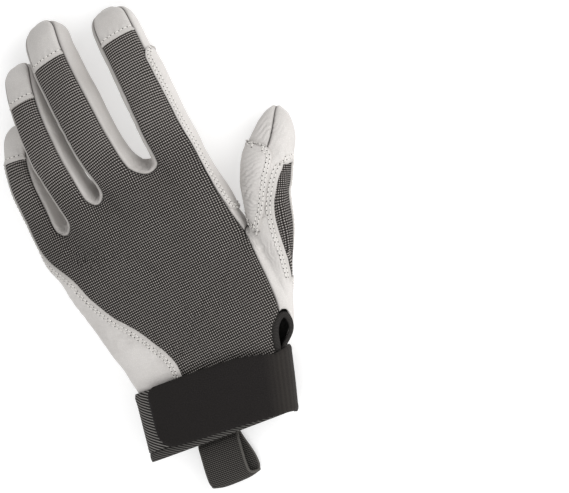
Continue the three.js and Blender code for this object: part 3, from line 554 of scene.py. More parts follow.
VENT_ROWS = 3
PATCH_FIRST = 4
PATCH_COLUMNS = (3, 4, 5)
PATCH_TOP_RING = 4
THUMB_PALM = 2.5 * STRIP


def ulnar_side(row):
    return [row["palm"][0], *reversed(row["ulnar"]), row["back"][0]]


def radial_side(row):
    return [row["back"][HAND], *row["radial"], row["palm"][HAND]]


def thumb_side(row):
    return [row["back"][HAND], row["back_web"], *row["thumb"], row["palm_web"], row["palm"][HAND]]


def join_hand(low, high, side_of, panel_of):
    join_rows(low["back"], high["back"], lambda i: "back_panel")
    join_rows(low["palm"][::-1], high["palm"][::-1], lambda i: "palm_panel")
    join_rows(ulnar_side(low), ulnar_side(high), lambda i: "pinky_side")
    join_rows(side_of(low), side_of(high), panel_of)


for r, (low, high) in enumerate(zip(low_rows, low_rows[1:])):

    def thumb_panel(i, r=r):
        if i < WEB:
            return None if r < VENT_ROWS else "thumb_outer"
        if r >= PATCH_FIRST and i - WEB in PATCH_COLUMNS:
            return "thumb_patch"
        return "thumb_outer" if i - WEB < THUMB_PALM else "palm_panel"

    join_hand(low, high, thumb_side, thumb_panel)
for low, high in zip(high_rows, high_rows[1:]):
    join_hand(low, high, radial_side, lambda i: "index_side")


def add_fork(top, bottom, left, right, panel):
    column = [top]
    for k in range(1, STRIP):
        between = (points[left[k]] + points[right[k]]) / 2
        between[1] = lerp(points[top][1], points[bottom][1], k / STRIP)
        column.append(add_point(between, weave[top]))
    column.append(bottom)
    for k in range(STRIP):
        add_face(panel, left[k], left[k + 1], column[k + 1], column[k])
        add_face(panel, column[k], column[k + 1], right[k + 1], right[k])


def grow_digit(digit, root, panel_of, middle, start):
    """Adds a digit's rings and rounded tip and returns the ids of its rings."""
    rings = [root]
    for i, at in enumerate(digit.stations()[1:]):
        high = add_ring(digit, at, middle, start)
        for k in range(RING):
            n = (k + 1) % RING
            add_face(panel_of(k, i, False), rings[-1][n], rings[-1][k], high[k], high[n])
        rings.append(high)
    ring = rings[-1]
    grid = [[None] * (STRIP + 1) for _ in range(STRIP + 1)]
    for i in range(STRIP + 1):
        grid[STRIP][i] = ring[i]
        grid[STRIP - i][STRIP] = ring[STRIP + i]
        grid[0][STRIP - i] = ring[2 * STRIP + i]
        grid[i][0] = ring[(3 * STRIP + i) % RING]
    corner = lambda j, i: points[grid[j][i]]
    ahead = digit.way.ahead(1)
    place = (start[0], start[1] + digit.way.length)
    for j in range(1, STRIP):
        for i in range(1, STRIP):
            u, v = i / STRIP, j / STRIP
            point = lerp(corner(j, 0), corner(j, STRIP), u) + lerp(corner(0, i), corner(STRIP, i), v)
            low = lerp(corner(0, 0), corner(0, STRIP), u)
            high = lerp(corner(STRIP, 0), corner(STRIP, STRIP), u)
            bulge = 4 * math.sqrt(u * (1 - u) * v * (1 - v))
            point = point - lerp(low, high, v) + ahead * bulge * digit.length * TIP_PUSH
            grid[j][i] = add_point(point, place)
    for j in range(STRIP):
        for i in range(STRIP):
            add_face(panel_of(i, j, True), grid[j][i], grid[j][i + 1], grid[j + 1][i + 1], grid[j + 1][i])
    return rings


top_row = high_rows[-1]
finger_roots = []
for f, finger in enumerate(fingers):
    start = f * (STRIP + WEB)
    ring = root_rings[f]
    radial = top_row["radial"] if f == len(fingers) - 1 else add_row(ring[STRIP + 1: 2 * STRIP])
    ulnar = top_row["ulnar"][::-1] if f == 0 else add_row(ring[3 * STRIP + 1:])
    back = top_row["back"][start: start + STRIP + 1]
    palm = top_row["palm"][start: start + STRIP + 1][::-1]
    finger_roots.append([*back, *radial, *palm, *ulnar])

rings_of = {}
for f, finger in enumerate(fingers):

    def finger_panel(k, row, tip, f=f, name=finger.name):
        if tip:
            return f"cap_{name}" if row >= STRIP / 2 else "palm_panel"
        if k < STRIP:
            return "back_panel" if row < SHAFT_RINGS else f"cap_{name}"
        if k < 2 * STRIP:
            return SIDES[f + 1]
        return "palm_panel" if k < 3 * STRIP else SIDES[f]

    across, along = weave[finger_roots[f][STRIP // 2]]
    start = (across, along - finger.forward(0)[STRIP // 2])
    rings_of[finger.name] = grow_digit(finger, finger_roots[f], finger_panel, STRIP // 2, start)
for f in range(len(fingers) - 1):
    left = finger_roots[f][STRIP: 2 * STRIP + 1]
    right = [finger_roots[f + 1][0], *reversed(finger_roots[f + 1][3 * STRIP:])]
    web = f * (STRIP + WEB) + STRIP + 1
    add_fork(top_row["back"][web], top_row["palm"][web], left, right, SIDES[f + 1])


def thumb_digit_panel(k, row, tip):
    half = STRIP / 2
    if tip:
        return "thumb_outer" if k >= half else "palm_panel"
    if row < PATCH_TOP_RING and k in PATCH_COLUMNS:
        return "thumb_patch"
    return "thumb_outer" if half <= k < 2 * STRIP + half else "palm_panel"


thumb_root = [*fork_row["thumb"], *fork_row["inner"]]
across, along = weave[thumb_root[STRIP]]
start = (across, along - thumb.forward(0)[STRIP])
rings_of["thumb"] = grow_digit(thumb, thumb_root, thumb_digit_panel, STRIP, start)
thumb_right = [fork_row["thumb"][0], *reversed(fork_row["inner"]), fork_row["thumb"][3 * STRIP]]
add_fork(fork_row["back_web"], fork_row["palm_web"], radial_side(fork_row), thumb_right, "palm_panel")

# The thumb patch's edge: places along it, how many columns it moves by and how far up it goes
PATCH_EDGE = {
    "at": (0, 0.3, 0.55, 0.75, 0.9, 1.0),
    "turn": (0, -0.45, -0.2, 0.15, 0.7, 1.5),
    "rise": (0, 0, 0, 0, 0.2, 0.5),
}
PATCH_TURNED = {3: 1.0, 4: 0.62, 5: 0.22}
PATCH_RAISED = {4: 0.6, 5: 1.0, 6: 0.9, 7: 0.4}
patch_rows = [row["thumb"] for row in low_rows[PATCH_FIRST:]] + rings_of["thumb"][1: PATCH_TOP_RING + 2]
still = [(points[i].copy(), weave[i]) for i in range(len(points))]


def slide(moved, here, there, share):
    """Moves a point of the net by a share of the way from one point to another."""
    points[moved] = points[moved] + share * (still[there][0] - still[here][0])
    weave[moved] = tuple(a + share * (c - b) for a, b, c in zip(weave[moved], still[here][1], still[there][1]))


for n, (row, above) in enumerate(zip(patch_rows, patch_rows[1:])):
    at = n / (len(patch_rows) - 2)
    for column, part in PATCH_TURNED.items():
        reach = part * look(PATCH_EDGE, "at", at, "turn")
        side = 1 if reach > 0 else -1
        for step in range(int(abs(reach)) + 1):
            here = column + side * step
            slide(row[column], row[here], row[here + side], min(1, abs(reach) - step))
    for column, part in PATCH_RAISED.items():
        slide(row[column], row[column], above[column], part * look(PATCH_EDGE, "at", at, "rise"))

# The cage's points are pushed out so that the smoothed surface passes through the part's own
SUBDIVISIONS = 3
PUSH_TIMES = 4
PUSH_STEP = 0.85
PUSH_SHARE = 0.3
quads = np.array(faces)
target = np.hstack((points, weave))
control = target.copy()
valence = np.bincount(quads.ravel(), minlength=len(target))[:, None].astype(float)
edge_use = {}
for face in faces:
    for i in range(4):
        key = tuple(sorted((face[i], face[(i + 1) % 4])))
        edge_use[key] = edge_use.get(key, 0) + 1
inside = np.ones(len(target), bool)
inside[[i for key, uses in edge_use.items() if uses == 1 for i in key]] = False
for _ in range(PUSH_TIMES):
    near = np.zeros_like(control)
    far = np.zeros_like(control)
    for i in range(4):
        np.add.at(near, quads[:, i], control[quads[:, (i + 1) % 4]] + control[quads[:, (i + 3) % 4]])
        np.add.at(far, quads[:, i], control[quads[:, (i + 2) % 4]])
    limit = (valence**2 * control + 2 * near + far) / (valence * (valence + 5))
    control[inside] += PUSH_STEP * (target - limit)[inside]

shortest = np.full(len(target), FAR)
for a, b in edge_use:
    gap = float(np.linalg.norm(target[a, :3] - target[b, :3]))
    shortest[a] = min(shortest[a], gap)
    shortest[b] = min(shortest[b], gap)
push = control - target
room = PUSH_SHARE * shortest / np.maximum(np.linalg.norm(push[:, :3], axis=1), 1e-6)
control = target + push * np.minimum(1, room)[:, None]
target = target[:, :3]
control_weave = control[:, 3:]
control = control[:, :3]


def place_in_world(co):
    return (co + SHIFT) * MM


cage = bpy.data.meshes.new("cage")
cage.from_pydata(place_in_world(control).tolist(), [], quads.tolist())
panel_names = sorted(set(panels))
mark = cage.attributes.new("panel", "INT", "FACE")
mark.data.foreach_set("value", [panel_names.index(p) for p in panels])
cloth_map = cage.uv_layers.new(name="weave")
cloth_map.data.foreach_set("uv", control_weave[quads.ravel()].ravel())
cage_object = add_object("cage", cage)
subsurf = cage_object.modifiers.new("smooth", "SUBSURF")
subsurf.levels = SUBDIVISIONS
subsurf.render_levels = SUBDIVISIONS
subsurf.uv_smooth = "SMOOTH_ALL"
depsgraph = bpy.context.evaluated_depsgraph_get()
fine = bpy.data.meshes.new_from_object(
    cage_object.evaluated_get(depsgraph), preserve_all_data_layers=True, depsgraph=depsgraph
)
bpy.data.objects.remove(cage_object)


def read(collection, key, width, kind=np.float32):
    values = np.empty(len(collection) * width, kind)
    collection.foreach_get(key, values)
    return values.reshape(-1, width) if width > 1 else values


skin = read(fine.vertices, "co", 3).astype(float) / MM - SHIFT
skin_quads = read(fine.loops, "vertex_index", 1, np.int32).reshape(-1, 4)
skin_panel = read(fine.attributes["panel"].data, "value", 1, np.int32)
skin_weave = np.zeros((len(skin), 2))
skin_weave[skin_quads.ravel()] = read(fine.uv_layers["weave"].data, "uv", 2)
bpy.data.meshes.remove(fine)


def vertex_normals(co, polys):
    area = np.cross(co[polys[:, 2]] - co[polys[:, 0]], co[polys[:, 3]] - co[polys[:, 1]])
    normals = np.zeros_like(co)
    for i in range(4):
        np.add.at(normals, polys[:, i], area)
    return units(normals)


skin_normals = vertex_normals(skin, skin_quads)

# The seams: edges between two panels, chained into lines
lows = np.minimum(skin_quads, np.roll(skin_quads, -1, axis=1)).ravel()
highs = np.maximum(skin_quads, np.roll(skin_quads, -1, axis=1)).ravel()
edge_keys = lows.astype(np.int64) * len(skin) + highs
owner = np.repeat(skin_panel, 4)
order = np.argsort(edge_keys, kind="stable")
keys = edge_keys[order]
seam_edges = {}
for n in np.nonzero(keys[1:] == keys[:-1])[0]:
    first, second = order[n], order[n + 1]
    if owner[first] != owner[second]:
        pair = tuple(sorted((panel_names[owner[first]], panel_names[owner[second]])))
        seam_edges.setdefault(pair, []).append((int(lows[first]), int(highs[first])))


def chains(edges):
    """Lines of points joined by edges, which end where other than two edges meet."""
    near = {}
    for a, b in edges:
        near.setdefault(a, []).append(b)
        near.setdefault(b, []).append(a)
    key = lambda a, b: (min(a, b), max(a, b))
    left = {key(a, b) for a, b in edges}
    found = []
    for start in [v for v, n in near.items() if len(n) != 2] + list(near):
        for here in near[start]:
            line = [start]
            while key(line[-1], here) in left:
                left.discard(key(line[-1], here))
                line.append(here)
                onward = [n for n in near[here] if key(here, n) in left]
                if onward and len(near[here]) == 2:
                    here = onward[0]
            if len(line) > 1:
                found.append(line)
    return found


# Lapped seams: the panel on top, how far it stands proud and its stitch rows
DOUBLE_ROW = (1.3, 3.1)
LAPS = {
    ("back_panel", "pinky_side"): ("pinky_side", 0.55, DOUBLE_ROW),
    ("thumb_outer", "thumb_patch"): ("thumb_outer", 0.5, DOUBLE_ROW),
    ("palm_panel", "thumb_patch"): ("palm_panel", 0.5, DOUBLE_ROW),
    **{("back_panel", f"cap_{name}"): (f"cap_{name}", 0.45, (1.6,)) for name in FINGERS},
}
CLOTH_PANELS = ("back_panel", "thumb_patch")
HIDDEN_PAIR = ("palm_panel", "thumb_outer")
HIDDEN_SEAM = 120
GROOVE = 0.6
GROOVE_WIDTH = 0.7
STITCH_PITCH = 2.3
PUCKER_PITCH = 1.6 * STITCH_PITCH
PUCKER = 0.2
ROW_DIP = 0.24
ROW_WIDTH = 0.42
UNDER_DIP = 0.25
LAP_FADE = 7
SEAM_REACH = 9

seam_lines = []
seam_vertices = []
for pair, edges in sorted(seam_edges.items()):
    for line in chains(edges):
        arc = running_length(skin[line])
        seam_vertices += [(vertex, len(seam_lines), length) for vertex, length in zip(line, arc)]
        seam_lines.append((pair, line, arc))
tree = point_tree([(n, skin[vertex]) for n, (vertex, _, _) in enumerate(seam_vertices)])
nearest = [tree.find(co)[1:] for co in skin]
seam_distance = np.array([distance for _, distance in nearest])
seam_line = np.array([seam_vertices[n][1] for n, _ in nearest])
seam_arc = np.array([seam_vertices[n][2] for n, _ in nearest])


def grooved(vertex, line):
    """Whether a plain seam shows here: the thumb's is hidden at the heel of the hand."""
    pair = seam_lines[line][0]
    return pair not in LAPS and (pair != HIDDEN_PAIR or skin[vertex][1] >= HIDDEN_SEAM)


tree = point_tree([(vertex, skin[vertex]) for vertex, line, _ in seam_vertices if grooved(vertex, line)])
groove_distance = np.array([tree.find(co)[2] for co in skin])

# Groups of creases: centre, direction along the crease, reach along and across, pitch, depth
CREASES = (
    ((57, 108, 24), (0.8, -0.55, 0), 10, 9, 1.7, 0.8),
    ((62, 97, 24), (0.85, -0.5, 0), 10, 9, 1.7, 0.8),
    ((57, 76, 26), (0.6, -0.8, 0), 12, 7, 1.7, 0.8),
    ((66, 112, 24), (1, 0.05, 0), 8, 10, 1.9, 0.45),
    ((80, 128, 18), (0.85, 0.45, 0), 7, 7, 2.2, 0.6),
    ((15, 131, 22), (0.1, 0.2, 0.95), 12, 9, 2.2, 0.95),
    ((-16.5, 127, 22), (0.1, 0.2, 0.95), 11, 8, 2.0, 0.95),
    ((-38, 114, 20), (0.1, 0.2, 0.95), 11, 8, 2.0, 0.95),
    ((-30, 58, 22), (0.75, -0.65, 0), 14, 9, 2.4, 0.8),
    ((-41, 82, 18), (0.85, -0.5, 0), 10, 12, 2.4, 0.7),
    ((-22, 100, 28), (0.97, -0.2, 0), 26, 10, 13.0, 1.0),
    ((18, 60, 30), (0.8, 0.6, 0), 30, 12, 17.0, 0.8),
    ((-8, 45, 28), (0.9, -0.4, 0), 22, 8, 11.0, 0.7),
    ((-12, 165, 26), (1, 0.1, 0), 12, 14, 9.0, 0.5),
    ((24, 165, 26), (1, 0.1, 0), 12, 12, 10.0, 0.45),
    ((-34, 150, 24), (1, 0.15, 0), 10, 12, 9.0, 0.45),
    ((28, 92, 4), (0.75, 0.6, 0), 22, 9, 4.5, 0.8),
    ((-6, 128, 6), (1, 0.1, 0), 40, 8, 5.0, 0.7),
)
REST_LIFT = 0.4
REST_FADE = 3
CREASE_OFF = 9
CREASE_LEAST = 0.02
CREASE_WAVER = ((5.5, 0.9), (2.4, 0.3))
NOISE_LAYERS = ((26, 0.6), (10, 0.26), (4.5, 0.09))
CLOTH_FOLD = 5


def swelling(co, layers):
    """Noise at each point, from layers of reach and height."""
    return sum(height * np.array([noise.noise(Vector(p / reach)) for p in co]) for reach, height in layers)


def creased(co, normals, finest=0.0):
    """How far the creases pull each point along its normal."""
    moved = np.zeros(len(co))
    for centre, along, long, wide, pitch, depth in CREASES:
        if pitch < finest:
            continue
        d = co - np.array(centre, float)
        way = unit(np.array(along, float))
        across = units(np.cross(normals, way))
        a = d @ way
        b = np.einsum("ij,ij->i", d, across)
        off = np.linalg.norm(d - np.outer(a, way) - across * b[:, None], axis=1)
        env = np.exp(-((a / long) ** 2) - (b / wide) ** 2 - (off / CREASE_OFF) ** 2)
        picked = np.nonzero(env > CREASE_LEAST)[0]
        fold = 0.5 + 0.5 * np.cos(2 * math.pi * (b[picked] / pitch + swelling(co[picked], CREASE_WAVER)))
        moved[picked] -= depth * env[picked] * fold**2
    return moved


swell = swelling(skin, NOISE_LAYERS)
base_move = swell + creased(skin, skin_normals)
cloth_move = swell + creased(skin, skin_normals, CLOTH_FOLD)
on_floor = smooth((skin[:, 2] - REST_LIFT) / REST_FADE)


def panel_move(name):
    """The whole displacement of the skin as this panel wears it."""
    move = (cloth_move if name in CLOTH_PANELS else base_move).copy()
    for n, (pair, _, _) in enumerate(seam_lines):
        near = np.nonzero((seam_line == n) & (seam_distance < SEAM_REACH))[0]
        d = seam_distance[near]
        if pair not in LAPS:
            dip = GROOVE * np.exp(-((d / GROOVE_WIDTH) ** 1.5)) - 0.12 * hump(d - 2.2, 1.2)
            if pair == HIDDEN_PAIR:
                dip *= smooth((skin[near, 1] - HIDDEN_SEAM) / 4)
            move[near] -= dip
            continue
        top, rise, rows = LAPS[pair]
        if name != top:
            move[near] -= UNDER_DIP * hump(d, 1.5)
            continue
        pucker = PUCKER * np.cos(2 * math.pi * seam_arc[near] / PUCKER_PITCH)
        move[near] += rise * smooth(1 - d / LAP_FADE) + pucker * hump(d - rows[-1] - 1, 2.2)
        for row in rows:
            move[near] -= ROW_DIP * hump(d - row, ROW_WIDTH)
    return move * on_floor


def tree_node(tree, kind, inputs=None, **settings):
    made = tree.nodes.new(kind)
    for key, value in settings.items():
        setattr(made, key, value)
    for key, value in (inputs or {}).items():
        if isinstance(value, bpy.types.NodeSocket):
            tree.links.new(value, made.inputs[key])
        else:
            made.inputs[key].default_value = value
    return made


def calc(tree, operation, *values):
    return tree_node(tree, "ShaderNodeMath", dict(enumerate(values)), operation=operation).outputs[0]


def times(tree, *values):
    """The product of two values, and with a third one given, that one added to it."""
    return calc(tree, "MULTIPLY" if len(values) == 2 else "MULTIPLY_ADD", *values)


def shader_group(name, inputs, build):
    """An effect that several materials share, with one value put out."""
    tree = bpy.data.node_groups.new(name, "ShaderNodeTree")
    for label, kind in inputs.items():
        tree.interface.new_socket(label, in_out="INPUT", socket_type=kind)
    tree.interface.new_socket("Value", in_out="OUTPUT", socket_type="NodeSocketFloat")
    given = tree.nodes.new("NodeGroupInput").outputs
    tree.links.new(build(tree, given), tree.nodes.new("NodeGroupOutput").inputs[0])
    return tree


def yarn_waves(tree, given):
    turned = times(tree, given["Place"], calc(tree, "DIVIDE", 2 * math.pi, given["Pitch"]))
    return times(tree, calc(tree, "COSINE", turned), 0.5, 0.5)


def soft_noise(tree, given):
    inputs = {key: given[key] for key in ("Scale", "Detail", "Roughness")}
    return tree_node(tree, "ShaderNodeTexNoise", {"Vector": given["Place"], **inputs}).outputs["Fac"]


NUMBER = "NodeSocketFloat"
YARN_ROWS = shader_group("rows of yarn", {"Place": NUMBER, "Pitch": NUMBER}, yarn_waves)
MOTTLING = shader_group("mottling", {
    "Place": "NodeSocketVector", "Scale": NUMBER, "Detail": NUMBER, "Roughness": NUMBER,
}, soft_noise)


def wave(tree, place, pitch):
    return tree_node(tree, "ShaderNodeGroup", {"Place": place, "Pitch": pitch}, node_tree=YARN_ROWS).outputs[0]


def noise_value(tree, place, scale, detail, roughness=0.5):
    inputs = {"Place": place, "Scale": scale, "Detail": detail, "Roughness": roughness}
    return tree_node(tree, "ShaderNodeGroup", inputs, node_tree=MOTTLING).outputs[0]


def map_range(tree, value, low, high, start=0.0, end=1.0, **settings):
    inputs = {"Value": value, "From Min": low, "From Max": high, "To Min": start, "To Max": end}
    return tree_node(tree, "ShaderNodeMapRange", inputs, **settings).outputs["Result"]


def painted(tree, name):
    return tree_node(tree, "ShaderNodeAttribute", attribute_name=name).outputs["Fac"]


def object_place(tree):
    return tree_node(tree, "ShaderNodeTexCoord").outputs["Object"]


def split_weave(tree):
    uv = tree_node(tree, "ShaderNodeUVMap", uv_map="weave").outputs["UV"]
    parts = tree_node(tree, "ShaderNodeSeparateXYZ", {"Vector": uv})
    return uv, parts.outputs["X"], parts.outputs["Y"]


def ramp(tree, value, *stops):
    made = tree_node(tree, "ShaderNodeValToRGB", {"Fac": value})
    elements = made.color_ramp.elements
    while len(elements) < len(stops):
        elements.new(0.5)
    for element, (at, colour) in zip(elements, stops):
        element.position = at
        element.color = (*colour, 1)
    return made.outputs["Color"]


def mix_colour(tree, share, under, over):
    return tree_node(tree, "ShaderNodeMix", {0: share, 6: under, 7: (*over, 1)}, data_type="RGBA").outputs[2]


def start_material(name, roughness, specular):
    material = bpy.data.materials.new(name)
    material.use_nodes = True
    tree = material.node_tree
    shader = tree.nodes["Principled BSDF"]
    shader.inputs["Roughness"].default_value = roughness
    shader.inputs["Specular IOR Level"].default_value = specular
    return material, tree, shader


def finish_material(tree, shader, colour, height, strength, distance):
    tree.links.new(colour, shader.inputs["Base Color"])
    inputs = {"Height": height, "Strength": strength, "Distance": distance * MM}
    bump = tree_node(tree, "ShaderNodeBump", inputs)
    tree.links.new(bump.outputs["Normal"], shader.inputs["Normal"])


def leather_material():
    material, tree, shader = start_material("leather", 0.5, 0.35)
    place = object_place(tree)
    inputs = {"Vector": place, "Scale": 1100.0}
    cells = tree_node(tree, "ShaderNodeTexVoronoi", inputs, feature="DISTANCE_TO_EDGE")
    pebbles = calc(tree, "MINIMUM", cells.outputs["Distance"], 0.25)
    fine_grain = noise_value(tree, place, 2600.0, 3.0)
    folds = noise_value(tree, place, 240.0, 5.0, 0.62)
    seam = painted(tree, "seam")
    lips = map_range(tree, seam, 0.0, 0.9, interpolation_type="SMOOTHSTEP")
    height = times(tree, pebbles, 1.2, times(tree, fine_grain, 0.3))
    height = times(tree, folds, 2.6, height)
    height = times(tree, lips, 3.0, height)
    cloud = noise_value(tree, place, 34.0, 4.0, 0.55)
    colour = ramp(tree, cloud, (0.3, (0.53, 0.507, 0.487)), (0.7, (0.65, 0.626, 0.605)))
    # Painted shade: the leather is mixed towards dark grey-brown near seams, in crease valleys and on the
    # fourchettes
    colour = mix_colour(tree, times(tree, painted(tree, "wear"), 0.6), colour, (0.27, 0.25, 0.235))
    # Painted shade in the grain: darker where the pebbled bump sinks between its cells
    grain_shade = calc(tree, "SUBTRACT", 0.2, times(tree, pebbles, 0.8))
    colour = mix_colour(tree, grain_shade, colour, (0.33, 0.315, 0.30))
    line = map_range(tree, seam, 0.08, 0.34, 0.82, 0.0)
    colour = mix_colour(tree, line, colour, (0.05, 0.045, 0.042))
    finish_material(tree, shader, colour, height, 0.5, 0.2)
    tree.links.new(times(tree, folds, 0.3, 0.36), shader.inputs["Roughness"])
    return material


RIB_PITCH = 1.25
BREAK_PITCH = 1.15


def cloth_material():
    material, tree, shader = start_material("cloth", 0.9, 0.12)
    uv, across, along = split_weave(tree)
    along = times(tree, noise_value(tree, uv, 0.06, 2.0), 1.2, along)
    across = times(tree, noise_value(tree, uv, 0.07, 2.0), 1.2, across)
    rib = wave(tree, along, RIB_PITCH)
    gap = wave(tree, across, BREAK_PITCH)
    on_finger = map_range(tree, along, PALM_LENGTH - 10.0, PALM_LENGTH + 14.0, 0.75, 0.45)
    beads = calc(tree, "SUBTRACT", 1.0, times(tree, on_finger, calc(tree, "SUBTRACT", 1.0, gap)))
    bead = times(tree, calc(tree, "POWER", rib, 0.8), beads)
    fuzz = noise_value(tree, uv, 2.2, 3.0)
    tone = times(tree, bead, times(tree, fuzz, 1.0, 0.5))
    colour = ramp(tree, tone, (0.08, (0.006, 0.0056, 0.0052)), (0.4, (0.044, 0.0402, 0.0375)),
                  (0.85, (0.42, 0.39, 0.369)))
    cloud = noise_value(tree, uv, 0.05, 3.0)
    colour = mix_colour(tree, times(tree, cloud, 0.3), colour, (0.03, 0.028, 0.026))
    finish_material(tree, shader, colour, times(tree, fuzz, 0.15, bead), 0.8, 0.35)
    return material


def elastic_material():
    material, tree, shader = start_material("elastic", 0.9, 0.12)
    uv, across, along = split_weave(tree)
    rib = wave(tree, along, 1.0)
    yarn = wave(tree, across, 0.75)
    fuzz = noise_value(tree, uv, 3.0, 3.0)
    tone = times(tree, calc(tree, "POWER", rib, 1.3), times(tree, yarn, 0.3, 0.7))
    tone = times(tree, tone, times(tree, fuzz, 0.9, 0.6))
    colour = ramp(tree, tone, (0.1, (0.010, 0.0095, 0.009)), (0.45, (0.055, 0.052, 0.049)),
                  (0.95, (0.27, 0.258, 0.245)))
    finish_material(tree, shader, colour, times(tree, yarn, 0.4, fuzz), 0.5, 0.15)
    return material


def strap_material():
    material, tree, shader = start_material("hook_and_loop", 0.95, 0.08)
    shader.inputs["Sheen Weight"].default_value = 0.04
    uv, across, _ = split_weave(tree)
    fuzz = noise_value(tree, uv, 1.8, 5.0, 0.65)
    cloud = noise_value(tree, uv, 0.16, 3.0)
    zone = map_range(tree, across, 62.0, 70.0)
    lines = wave(tree, across, 2.1)
    colour = ramp(tree, fuzz, (0.3, (0.010, 0.009, 0.0088)), (0.75, (0.026, 0.023, 0.0222)))
    colour = mix_colour(tree, times(tree, cloud, 0.4), colour, (0.012, 0.011, 0.0105))
    colour = mix_colour(tree, times(tree, zone, times(tree, lines, 0.25, 0.3)), colour, (0.040, 0.036, 0.032))
    finish_material(tree, shader, colour, fuzz, 0.7, 0.35)
    return material


def tape_material(name, pitch, dark, light, cross=1.1, edge=0.0):
    material, tree, shader = start_material(name, 0.85, 0.12)
    uv, across, along = split_weave(tree)
    rib = wave(tree, along, pitch)
    gap = wave(tree, across, cross)
    fuzz = noise_value(tree, uv, 2.6, 3.0)
    tone = times(tree, rib, times(tree, gap, 0.45, 0.4))
    tone = times(tree, tone, times(tree, fuzz, 0.9, 0.55))
    colour = ramp(tree, tone, (0.05, dark), (0.85, light))
    if edge:
        rim = map_range(tree, calc(tree, "ABSOLUTE", across), edge - 0.9, edge - 0.3, 0.0, 0.7)
        colour = mix_colour(tree, rim, colour, light)
    finish_material(tree, shader, colour, times(tree, fuzz, 0.2, tone), 0.7, 0.22)
    return material


def plain_material(name, dark, light, roughness, scale, bump):
    material, tree, shader = start_material(name, roughness, 0.3)
    grain = noise_value(tree, object_place(tree), scale, 3.0)
    finish_material(tree, shader, ramp(tree, grain, (0.3, dark), (0.7, light)), grain, bump, 0.1)
    return material


LEATHER = leather_material()
CLOTH = cloth_material()
ELASTIC = elastic_material()
STRAP = strap_material()
WEBBING = tape_material("webbing", 0.95, (0.008, 0.0075, 0.007), (0.12, 0.113, 0.104), edge=WEBBING_WIDTH / 2)
BINDING = tape_material("binding", 0.8, (0.012, 0.011, 0.0105), (0.055, 0.051, 0.048), 0.7)
HEM = tape_material("hem", 1.3, (0.010, 0.0095, 0.009), (0.15, 0.143, 0.135), 0.7)
# Inside faces of the walls: near-black, painted shade for the hollow inside of the glove
INSIDE_SHADE = plain_material("lining", (0.018, 0.017, 0.016), (0.04, 0.038, 0.036), 0.95, 700.0, 0.4)
SUEDE = plain_material("suede_edge", (0.42, 0.40, 0.38), (0.56, 0.54, 0.52), 0.9, 1500.0, 0.5)
THREAD = plain_material("thread", (0.62, 0.60, 0.57), (0.78, 0.76, 0.73), 0.6, 4000.0, 0.5)
# Needle holes are dark discs of painted shade
HOLE_SHADE = plain_material("needle_hole", (0.03, 0.027, 0.025), (0.06, 0.055, 0.05), 0.9, 900.0, 0.1)


def make_piece(name, co, polys, finish, node, uv, slots=None, marks=None):
    """Makes one mesh object from arrays in millimetres and gives it to the frame."""
    mesh = bpy.data.meshes.new(name)
    mesh.from_pydata(place_in_world(np.asarray(co)).tolist(), [], [list(map(int, p)) for p in polys])
    for material in finish:
        mesh.materials.append(material)
    if slots is not None:
        mesh.polygons.foreach_set("material_index", np.asarray(slots, np.int32))
    layer = mesh.uv_layers.new(name="weave")
    index = read(mesh.loops, "vertex_index", 1, np.int32)
    layer.data.foreach_set("uv", np.asarray(uv, np.float32)[index].ravel())
    for key, values in (marks or {}).items():
        mesh.attributes.new(key, "FLOAT", "POINT").data.foreach_set("value", np.asarray(values, np.float32))
    mesh.update()
    hand_over(name, mesh, node)


def hand_over(name, mesh, node=None):
    mesh.polygons.foreach_set("use_smooth", np.ones(len(mesh.polygons), bool))
    made = add_object(name, mesh)
    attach(made, "root")
    if node:
        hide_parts(node)


def border_edges(polys):
    edges = {(p[i], p[(i + 1) % len(p)]) for p in polys.tolist() for i in range(len(p))}
    return [(a, b) for a, b in edges if (b, a) not in edges]


def grid_polys(ids):
    """The faces of a grid of point numbers."""
    return np.stack((ids[:-1, :-1], ids[:-1, 1:], ids[1:, 1:], ids[1:, :-1]), axis=-1).reshape(-1, 4)


def wall(name, outer, polys, thickness, finish, node, uv, normals, marks=None):
    """A closed wall from its outer side, with materials for the outside, the inside and the cut edge."""
    count = len(outer)
    rims = [(b, a, a + count, b + count) for a, b in border_edges(polys)]
    every = np.concatenate((polys, polys[:, ::-1] + count, np.array(rims)))
    slots = np.concatenate((np.zeros(len(polys)), np.ones(len(polys)), np.full(len(rims), 2)))
    both = lambda values: np.concatenate((values, values))
    marks = {key: both(values) for key, values in (marks or {}).items()}
    co = np.concatenate((outer, outer - normals * thickness))
    make_piece(name, co, every, finish, node, both(uv), slots, marks)


# Places of the stitches and of the needle holes: centre, direction of the seam and normal
STITCH_LENGTH = 0.74 * STITCH_PITCH
THREAD_RADIUS = 0.27
HOLE_RADIUS = 0.34
places = {"stitches": [], "needle_holes": []}


def stitch_shape(tree, given):
    """One stitch: a round thread bowed out of the leather, with both ends sunk in it."""
    half = times(tree, given["Length"], 0.5)
    sunk = times(tree, given["Radius"], -0.75)
    bowed = times(tree, given["Radius"], 2.4)
    corner = lambda x, z: tree_node(tree, "ShaderNodeCombineXYZ", {"X": x, "Z": z}).outputs[0]
    bow = tree_node(tree, "GeometryNodeCurveQuadraticBezier", {
        "Resolution": 5, "Start": corner(times(tree, half, -1.0), sunk),
        "Middle": corner(0.0, bowed), "End": corner(half, sunk),
    }).outputs["Curve"]
    ring = tree_node(tree, "GeometryNodeCurvePrimitiveCircle", {
        "Resolution": 6, "Radius": given["Radius"],
    }).outputs["Curve"]
    return tree_node(tree, "GeometryNodeCurveToMesh", {
        "Curve": bow, "Profile Curve": ring, "Fill Caps": True,
    }).outputs["Mesh"]


def hole_shape(tree, given):
    """One needle hole: a small dark disc of painted shade, longer along the seam."""
    inputs = {"Vertices": 6, "Radius": given["Radius"]}
    disc = tree_node(tree, "GeometryNodeMeshCircle", inputs, fill_type="NGON")
    return tree_node(tree, "GeometryNodeTransform", {
        "Geometry": disc.outputs["Mesh"], "Translation": (0, 0, 0.05), "Scale": (1.25, 1, 1),
    }).outputs["Geometry"]


